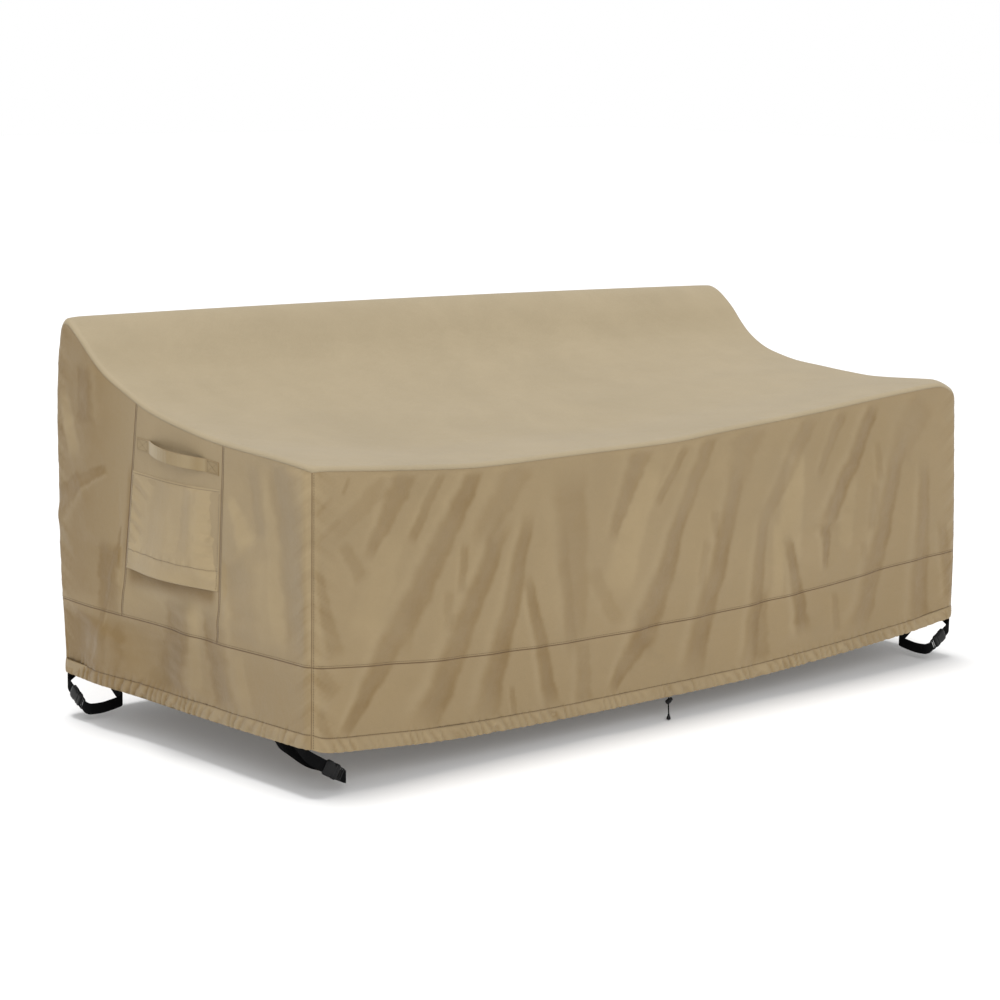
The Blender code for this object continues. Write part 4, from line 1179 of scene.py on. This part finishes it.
flap_share = stops(0.0, FLAP_WIDE, 0.0030) / FLAP_WIDE
flap_top = np.array([0, 0.8, 2, 3.5, 5, 6.5]) * MM / FLAP_TALL
flap_down = np.concatenate([flap_top, np.linspace(0.009 / FLAP_TALL, 1, 70)])
points, *tones = flap_place(flap_share, flap_down[:, None])
vent_flap = add_sheet(
    "vent_flap_cloth", points, shaded_wall_finish, "vent_flap", tones, thickness=0.0010
)
print("flap: stands out by up to", round(-HALF_WIDTH - points[..., 0].min(), 4), "m")

# %% [markdown]
# ## The handle
#
# The handle is a strip of the same cloth, folded to a flat strap and box-stitched to the side
# at both ends. Between them it is a little longer than the gap, so it stands out in a bow.
# It is one closed tube: a flat section with round edges is carried along the bow.

# %% Handle
HANDLE_FRONT, HANDLE_REAR, HANDLE_SEWN = 0.305, 0.594, 0.042
HANDLE_FRONT_Z, HANDLE_REAR_Z = 0.526, 0.544
HANDLE_WIDTH, HANDLE_BOW, HANDLE_THICKNESS = 0.028, 0.024, 0.0019
HANDLE_PRESS = 0.0010  # how far the sewn ends press into the side


def flat_section(width, thickness, count=7):
    """A flat section with half-round edges: points (across the width, through it)."""
    turn = np.linspace(-np.pi / 2, np.pi / 2, count)
    half, round_by = width / 2 - thickness / 2, thickness / 2
    edge = np.stack([half + round_by * np.cos(turn), round_by * np.sin(turn)], -1)
    face = np.linspace(0.94, -0.94, 9)[:, None] * [half, 0] + [0, round_by]
    return np.concatenate([edge, face, -edge, -face])


def handle_line(y):
    """The middle of the handle's inner face: out = bow * sin(pi * share) between its ends."""
    free = HANDLE_REAR - HANDLE_FRONT - 2 * HANDLE_SEWN
    share = np.clip((y - HANDLE_FRONT - HANDLE_SEWN) / free, 0, 1)
    soft = ease(share / 0.1) * ease((1 - share) / 0.1)
    bow = HANDLE_BOW * np.sin(np.pi * share) * (0.35 + 0.65 * soft)
    rise = (y - HANDLE_FRONT) / (HANDLE_REAR - HANDLE_FRONT)
    z = HANDLE_FRONT_Z + (HANDLE_REAR_Z - HANDLE_FRONT_Z) * rise
    return bow * (1 + 0.03 * wobble(y * 60, 0.6)), z, share


handle_y = np.linspace(HANDLE_FRONT, HANDLE_REAR, 140)
bow, handle_z, share = handle_line(handle_y)
laid = HANDLE_PRESS * (1 - ease(bow / 0.004))
inner_x = -HALF_WIDTH - STAND_OFF - HANDLE_THICKNESS / 2 - bow + laid
handle_path = bulged(np.stack([inner_x, handle_y, handle_z], -1))
upwards = repeated(ALONG_Z, handle_path)
outwards = unit(np.cross(unit(np.gradient(handle_path, axis=0)), upwards))
outwards *= np.sign(-outwards[:, :1])
section = flat_section(HANDLE_WIDTH, HANDLE_THICKNESS)
handle = sweep(
    "handle_strap", handle_path, upwards, outwards, section, lit_handle_finish, "handle", 60
)
# Painted shade along the handle: darker at the sewn ends, browner in two places along the bow,
# lighter near the rear end, and dark along both edges.
ends = 0.75 * (1 - ease(share / 0.04) * ease((1 - share) / 0.04))
brown_painted_shade = 0.55 * near(share - 0.45, 0.20) + 0.60 * near(share - 0.10, 0.09)
handle_painted_shade = np.maximum(ends, brown_painted_shade) - 0.55 * near(share - 0.88, 0.14)
edge_painted_shade = 0.30 * near(np.abs(section[:, 0]) - HANDLE_WIDTH / 2, 0.0010)
handle_marks = {
    "painted_light_and_shade": np.repeat(handle_painted_shade, len(section)),
    "seam_dark_and_edge_shade": np.tile(edge_painted_shade, len(handle_y)),
}
mark_points(handle.data, handle_marks)
print("handle: bow", bow.max().round(4), "length", travelled(handle_path)[-1].round(4))

# %% [markdown]
# ## Stitches
#
# Every seam of the cover is topstitched, and the rows read as fine dotted lines along its
# edges. One stitch is a short capsule with drooping ends: four rings of five points. All the
# stitches of a row are placed at once, by adding the same few ring offsets to every middle
# point, so a row of four hundred stitches is a single array.

# %% Stitch helper
STITCH, STITCH_PITCH, THREAD = 0.0036, 0.0052, 0.00052
STITCH_RINGS = np.array(  # place along the stitch, size of the ring, drop into the cloth
    [(-0.5, 0.30, -0.75), (-0.34, 0.95, 0.05), (0.34, 0.95, 0.05), (0.5, 0.30, -0.75)]
)
RING_TURN = np.arange(5)[:, None] * 2 * np.pi / 5


def add_stitches(
    name, path, normal, finish=brown_thread, pitch=STITCH_PITCH, length=STITCH, radius=THREAD
):
    """Capsules on the cloth: ring offsets = along * t + out * r * sin + side * r * cos."""
    distance = travelled(path)
    count = max(2, int(distance[-1] / pitch))
    middles = (np.arange(count) + 0.5) * distance[-1] / count
    middles = middles + 0.00025 * wobble(middles * 700, 0.3)

    def read(values, at):
        """Rows of values at distances along the path, with straight steps between."""
        return np.stack([np.interp(at, distance, column) for column in values.T], -1)

    centre, out = read(path, middles), read(normal, middles)
    along = unit(read(path, middles + length / 2) - read(path, middles - length / 2))
    out = unit(out - along * (out * along).sum(1, keepdims=True))
    side = np.cross(along, out)
    t, r, drop = np.moveaxis(STITCH_RINGS, 1, 0)[:, :, None, None]
    lifted = radius * (r * np.sin(RING_TURN) + drop + 0.25)
    sideways = radius * r * np.cos(RING_TURN)
    centre, along, out, side = [v[:, None, None, :] for v in (centre, along, out, side)]
    points = centre + along * t * length + out * lifted + side * sideways
    one = tube_faces(4, 5)
    faces = [[corner + 20 * k for corner in face] for k in range(count) for face in one]
    return add_closed(name, points, faces, finish, sharp=180)


print("stitches in a metre:", round(1 / STITCH_PITCH))


def row_on_wall(name, wall, along, z, **more):
    """A row of stitches on a wall's cloth, a twentieth of a millimetre outside it."""
    x, y, _ = wall_lines(wall, along)
    place = wall_place(wall, along, z, 0.05 * MM)[0]
    return add_stitches(name, place, raised(rounded(x, y)[1], 0 * z), **more)


for wall, (start, end, _) in WALLS.items():
    along = np.linspace(start + 0.002, end - 0.002, 900)
    _, casing, band, _ = wall_lines(wall, along)[2]
    row_on_wall(f"{wall}_casing_stitches", wall, along, casing)
    row_on_wall(f"{wall}_band_stitches", wall, along, band + SEAM_ROW, finish=tan_thread)


def upright_row(name, wall, cut, low):
    """A row of stitches up a wall beside an upright seam, from one of its lines to the top."""
    share = np.linspace(0, 1, 300)
    along = np.full_like(share, cut)
    lines = dict(zip(LINES, wall_lines(wall, along)[2]))
    z = lines[low] + 0.003 + (lines["top"] - lines[low] - 0.006) * share
    return row_on_wall(name, wall, along, z)


beside_corner = HALF_WIDTH - SEAM_ROW
corners = [(wall, side * beside_corner) for wall in ("front", "back") for side in (-1, 1)]
corner_rows = [
    upright_row(f"corner_stitches_{k}", *corner, "hem") for k, corner in enumerate(corners)
]
seam_rows = [
    upright_row(f"side_seam_stitches_{k}", "left", seam - SEAM_ROW, "band")
    for k, seam in enumerate(SIDE_SEAMS)
]

# %% Rows of stitches on the flap and the handle
BOX_STITCHES = {"finish": tan_thread, "pitch": 0.0040, "length": 0.0028, "radius": 0.00042}


def flap_row(name, share, down):
    """A row of stitches on the flap."""
    place = flap_place(share, down, 0.1 * MM)[0]
    return add_stitches(f"flap_{name}_stitches", place, repeated(-ALONG_X, place))


across, upright = np.linspace(0.012, 0.988, 400), np.linspace(0.04, 0.985, 300)
hem_down = (FLAP_TOP - FLAP_HEM - hem_wave(FRONT_SEAM + FLAP_WIDE * across)) / FLAP_TALL
flap_rows = [
    flap_row("top", across, FLAP_ROW / FLAP_TALL),
    flap_row("hem", across, hem_down),
    flap_row("front", SEAM_ROW / FLAP_WIDE, upright),
    flap_row("rear", 1 - SEAM_ROW / FLAP_WIDE, upright),
]


def handle_row(name, corners):
    """Stitches on the handle: straight runs between (y, height) points."""
    corners = np.array(corners)
    steps = travelled(corners)
    y, rise = [np.interp(np.linspace(0, steps[-1], 400), steps, c) for c in corners.T]
    bow, z, _ = handle_line(y)
    x = -HALF_WIDTH - STAND_OFF - HANDLE_THICKNESS - bow + 0.0009
    place = bulged(np.stack([x, y, z + rise], -1))
    return add_stitches(f"handle_{name}_stitches", place, repeated(-ALONG_X, place), **BOX_STITCHES)


h = HANDLE_WIDTH / 2 - 0.003
box_ends = {
    "front": (HANDLE_FRONT + 0.003, HANDLE_FRONT + HANDLE_SEWN - 0.004),
    "rear": (HANDLE_REAR - HANDLE_SEWN + 0.004, HANDLE_REAR - 0.003),
}
for end, (y0, y1) in box_ends.items():
    box = [(y0, -h), (y1, -h), (y1, h), (y0, h), (y0, -h), (y1, h)]
    handle_row(f"{end}_box", box)
    handle_row(f"{end}_cross", [(y1, -h), (y0, h)])

# %% [markdown]
# ## Corner straps
#
# A strap is sewn inside the hem on both sides of each corner. The long one comes round the
# corner to the buckle, and the short one goes from the buckle in an open loop below the
# corner, to its own sewn end. Both are woven webbing, 25 mm wide. Their route seen from above
# is a few straight runs joined by arcs, and the height is read from a table on the way. Each
# cut is square to the strap on the unrolled path, so the webbing keeps its width as it climbs.

# %% Straps
STRAP_WIDTH, STRAP_THICKNESS, STRAP_SLOPE = 0.025, 0.0015, 0.6
STRAP_CORNER_Z, STRAP_TURN, STRAP_BEND = -0.014, 0.023, 0.012
SOLID_CLOTH = 0.002
STRAP_SEAT = SOLID_CLOTH + GAP + STRAP_THICKNESS / 2
STRAP_TILT = math.atan(STRAP_SLOPE)
LONG_STRAP_END, LOOP_LENGTH, LOOP_DEPTH, SHORT_STRAP_END = 0.085, 0.097, 0.100, 0.150
BUCKLE_JOINT, SOCKET_LENGTH, PLUG_LENGTH = 0.062, 0.030, 0.022
BUCKLE_WIDTH, BUCKLE_THICKNESS = 0.033, 0.009
SHORT_STRAP = {
    "distance": (0.0, 0.006, 0.020, 0.060, 0.120, 0.180, 0.210, 0.242),
    "z": (0.0, -0.0036, -0.008, -0.008, 0.006, 0.048, 0.072, 0.092),
}
CORNERS = {  # place seen from above, and the corner's own two axes
    "front_left": ((-HALF_WIDTH, 0.0), (1, 0), (0, 1)),
    "front_right": ((HALF_WIDTH, 0.0), (-1, 0), (0, 1)),
    "back_left": ((-HALF_WIDTH, DEPTH), (0, -1), (1, 0)),
    "back_right": ((HALF_WIDTH, DEPTH), (0, -1), (-1, 0)),
}


print("straps go down by", round(math.degrees(STRAP_TILT), 1), "degrees at the buckle")

# %% Strap cuts


def at_corner(corner, points):
    """Points in a corner's own axes, put at that corner of the cover."""
    place, a, b = CORNERS[corner]
    start = bulged(np.array([*place, 0.0])) * [1, 1, 0]
    return start + points @ np.array([(*a, 0), (*b, 0), (0, 0, 1)], float)


def plan_path(corners, radii):
    """Straight runs seen from above, joined by quarter arcs, and the distance along them."""
    corners = np.array(corners)
    turn = np.linspace(0, np.pi / 2, 14)[:, None]
    points = [corners[0]]
    for (corner, back, ahead, _), radius in zip(bends(corners), radii):
        arc = back + ahead - ahead * np.cos(turn) - back * np.sin(turn)
        points.extend(corner + arc * radius)
    points = np.array(points + [corners[-1]])
    return points, travelled(points)


def strap_cuts(corners, radii, height):
    """Cuts of a strap, from its section's reach across the width and its two depths.

    place = path(distance - sin(slope) * reach) + right * depth,
    height = height(distance) + cos(slope) * reach
    """
    points, distance = plan_path(corners, radii)
    total, spare = distance[-1], 0.05
    before = points[:1] - unit(points[1:2] - points[:1]) * spare
    after = points[-1:] + unit(points[-1:] - points[-2:-1]) * spare
    longer = np.vstack([before, points, after])
    at = np.concatenate([[-spare], distance, [total + spare]])

    def place(s):
        """The plan point at a distance along the strap."""
        return np.stack([np.interp(s, at, column) for column in longer.T], -1)

    section = flat_section(STRAP_WIDTH, STRAP_THICKNESS, 5)
    reach, depth = section[:, 0], section[:, 1:]
    d = np.unique(np.concatenate([np.linspace(0, total, int(total / 0.0025)), distance]))
    d = d[:, None]
    slope = np.arctan((height(d + 0.001) - height(d - 0.001)) / 0.002)
    where = d - np.sin(slope) * reach
    ahead = unit(place(where + 0.0012) - place(where - 0.0012))
    right = np.stack([ahead[..., 1], -ahead[..., 0]], -1)
    z = height(d) + np.cos(slope) * reach
    uv = np.stack(np.broadcast_arrays(travelled(section), d), -1)
    return raised(place(where) + right * depth, z), uv


def add_strap(name, corner, corners, radii, height):
    """A strap of webbing, closed at both ends, put at its corner of the cover."""
    cuts, uv = strap_cuts(corners, radii, height)
    cuts, faces = at_corner(corner, cuts), tube_faces(*cuts.shape[:2])
    stands_for = (f"{name}_{corner}",)
    name = f"{name}_webbing_{corner}"
    return add_closed(name, cuts, faces, webbing, stands_for, uv, sharp=60)


print("points in a cut:", len(flat_section(STRAP_WIDTH, STRAP_THICKNESS, 5)))


# %% [markdown]
# ## Buckles
#
# Each side-release buckle is latched. Its socket is a hollow shell with an opening in each
# side, where the tips of the plug's two springy arms show, and the plug ends in a ladder that
# the webbing is threaded through. Both are cut as boxes that swell: a section with rounded
# corners, |v|^4 + |w|^4 = 1, whose width and thickness follow a short table along the buckle.

# %% Buckles
W, T = BUCKLE_WIDTH / 2 / MM, BUCKLE_THICKNESS / 2 / MM
# place along the buckle, half width, half thickness and middle, in mm
SOCKET = (
    (-30.2, 9.5, 2.2, 0), (-30.0, 11.0, 2.9, 0), (-29.3, 12.2, 3.5, 0), (-27.0, 15.2, 4.0, 0),
    (-24.5, W, 4.3, 0), (-20.0, W, T, 0), (-13.0, W, T, 0), (-11.0, 15.6, T, 0),
    (-9.0, 13.2, T, 0), (-6.5, 12.5, T, 0), (-4.5, 12.9, T, 0), (-3.2, 15.4, T, 0),
    (-2.2, W, T, 0), (-1.2, W, 4.4, 0), (-0.5, 16.1, 4.1, 0), (-0.3, 15.6, 3.7, 0),
)
ARMS = (
    (-10.6, 0.8, 1.0, 14.0), (-10.0, 1.5, 1.8, 14.0), (-8.0, 1.9, 2.3, 14.2),
    (-6.0, 1.7, 2.4, 14.0), (-4.2, 1.2, 2.3, 13.6), (-3.0, 0.8, 1.8, 13.2),
)
PLUG = (
    (0.0, 14.6, 3.0, 0), (0.3, 15.2, 3.7, 0), (0.9, 15.6, 4.1, 0), (2.2, W, 4.3, 0),
    (5.5, W, 4.3, 0), (8.0, 15.4, 4.0, 0), (9.6, 14.2, 3.4, 0), (10.0, 13.6, 2.9, 0),
)
RAIL = (
    (8.6, 1.0, 1.6, 12.8), (9.4, 1.5, 2.2, 12.6), (14.0, 1.4, 2.1, 12.4),
    (19.0, 1.5, 2.2, 12.3), (20.6, 1.1, 1.8, 12.1),
)
BAR = ((-13.4, 1.1, 1.2), (-12.8, 1.7, 1.9), (0.0, 1.5, 1.7), (12.8, 1.7, 1.9), (13.4, 1.1, 1.2))


def rounded_box(stations, turns=28):
    """Rings of a box with soft edges, from the rows of a table."""
    c, s = ring(1.0, turns).T
    unit_size = 1 / (np.abs(c) ** 4 + np.abs(s) ** 4) ** 0.25
    u, half, thick, middle = np.array(stations, float).T[..., None]
    return np.stack([u + 0 * c, thick * unit_size * s, middle + half * unit_size * c], -1)


def mirrored(stations):
    """The same tube on both sides of the middle."""
    right = rounded_box(stations, 16)
    return [right, right[:, ::-1] * [1, 1, -1]]


def cross_bar(at, scale=1.0):
    """A soft bar across the buckle at a place along it."""
    rings = rounded_box([(v, a * scale, b * scale, 0) for v, a, b in BAR])
    return rings[..., ::-1] + [at, 0, 0]


def joined(parts):
    """Several closed tubes as one list of points and faces."""
    points, faces = np.empty((0, 3)), []
    for rings in parts:
        faces += tube_faces(*rings.shape[:2], len(points))
        points = np.concatenate([points, rings.reshape(-1, 3)])
    return points, faces


socket = joined([rounded_box(SOCKET)])
ladder = [cross_bar(20.6), cross_bar(15.2, 0.8)]
plug = joined([rounded_box(PLUG)] + mirrored(RAIL) + mirrored(ARMS) + ladder)


def add_buckle_half(name, corner, shape, stands_for):
    """A half of a buckle, tipped with the strap's slope, at its corner of the cover."""
    points, faces = shape
    joint = np.array([BUCKLE_JOINT, STRAP_SEAT, STRAP_CORNER_Z - STRAP_SLOPE * BUCKLE_JOINT])
    points = at_corner(corner, joint + points * MM @ tipped(STRAP_TILT))
    return add_closed(f"{name}_{corner}", points, faces, plastic, (stands_for,), sharp=35)


print("faces of a buckle:", len(socket[1]) + len(plug[1]))


# %% Straps and buckles at the four corners
SEAT = STRAP_SEAT
socket_start = BUCKLE_JOINT - (SOCKET_LENGTH + GAP) * math.cos(STRAP_TILT)
plug_end = BUCKLE_JOINT + (PLUG_LENGTH + 2 * GAP) * math.cos(STRAP_TILT)
long_line = [(SEAT, LONG_STRAP_END), (SEAT, SEAT), (socket_start, SEAT)]
short_line = [(plug_end, SEAT), (LOOP_LENGTH, SEAT), (LOOP_LENGTH, LOOP_DEPTH)]
short_line += [(SEAT, LOOP_DEPTH), (SEAT, SHORT_STRAP_END)]
long_total = plan_path(long_line, [STRAP_TURN])[1][-1]


def long_height(d):
    """The long strap comes down to the buckle with an even slope."""
    return STRAP_CORNER_Z - STRAP_SLOPE * (socket_start - (long_total - d))


def short_height(d):
    """The short strap goes on down from the buckle, levels out and climbs to its end."""
    start = STRAP_CORNER_Z - STRAP_SLOPE * plug_end
    return start + np.where(d <= 0, -STRAP_SLOPE * d, curve(SHORT_STRAP, "z", d))


for corner in CORNERS:
    add_strap("long_strap", corner, long_line, [STRAP_TURN], long_height)
    add_strap("short_strap", corner, short_line, [STRAP_BEND] * 3, short_height)
    add_buckle_half("socket_shell", corner, socket, "buckle_socket_" + corner)
    add_buckle_half("plug_ladder", corner, plug, "buckle_plug_" + corner)
print("long strap:", long_total.round(4), "m to its buckle, at", len(CORNERS), "corners")

# %% [markdown]
# ## All the cloths
#
# The top, the flap and the handle join the wall and band cloths in one table. The top is the
# longest: it goes from the front edge up and over the ridge.

cloths |= {"top_cloth": top_cloth, "vent_flap": vent_flap, "handle": handle}

# %% [markdown]
# ## Floor and light
#
# The floor is plain, white and faintly lit from below, like a light table. A soft sun almost
# straight above gives the lighter top and the shadow under the hem. A second one comes in
# like a window, mostly from the front, and the pale surroundings light the rest.

# %% Floor
WHITE = (1.0, 1.0, 1.0, 1.0)
bpy.ops.mesh.primitive_plane_add(size=1)
floor = bpy.context.object
floor.name = "studio_floor"
drop = Matrix.Translation((0, 0, FLOOR - HELD_AT[2]))
floor.data.transform(drop @ Matrix.Diagonal((60, 60, 1, 1)))
glow = {"Emission_Color": WHITE, "Emission_Strength": 0.11}
paint, tree, shader = new_finish("floor_paint", None, 0.85, **glow)
dust = noise(tree, object_place(tree), 0.8, 3.0)
feed(shader, Base_Color=mix_colour(tree, dust, tinted([0.78] * 3, 1), tinted([0.80] * 3, 1)))
floor.data.materials.append(paint)
print("floor", -FLOOR, "m below the hem's corners")

# %% Light
bpy.context.scene.view_settings.view_transform = "Standard"
world = bpy.data.worlds.new("studio")
bpy.context.scene.world = world
world.use_nodes = True
tree = world.node_tree
air = tree.nodes["Background"]
ray = node(tree, "LightPath").outputs["Is Camera Ray"]
tree.links.new(stretch(tree, ray, 0.0, 1.0, 0.50, 1.0), air.inputs["Strength"])
air.inputs["Color"].default_value = WHITE


def add_sun(name, energy, place, target, degrees):
    """A soft sun at a place that looks at a target, both in the cover's coordinates."""
    light = bpy.data.lights.new(name, "SUN")
    light.energy, light.angle = energy, math.radians(degrees)
    away = unit(np.subtract(place, target))
    side = unit(np.cross(ALONG_Z, away))
    put(bpy.data.objects.new(name, light), place, [side, np.cross(away, side), away])


add_sun("overhead_sun", 2.2, (-0.15, 0.9, 6.0), (0, 0.4, 0.3), 16)
add_sun("window_sun", 1.18, (-2.9, -5.4, 3.9), (0, 0.2, 0.3), 40)
print("lights:", [light.name for light in bpy.data.lights])
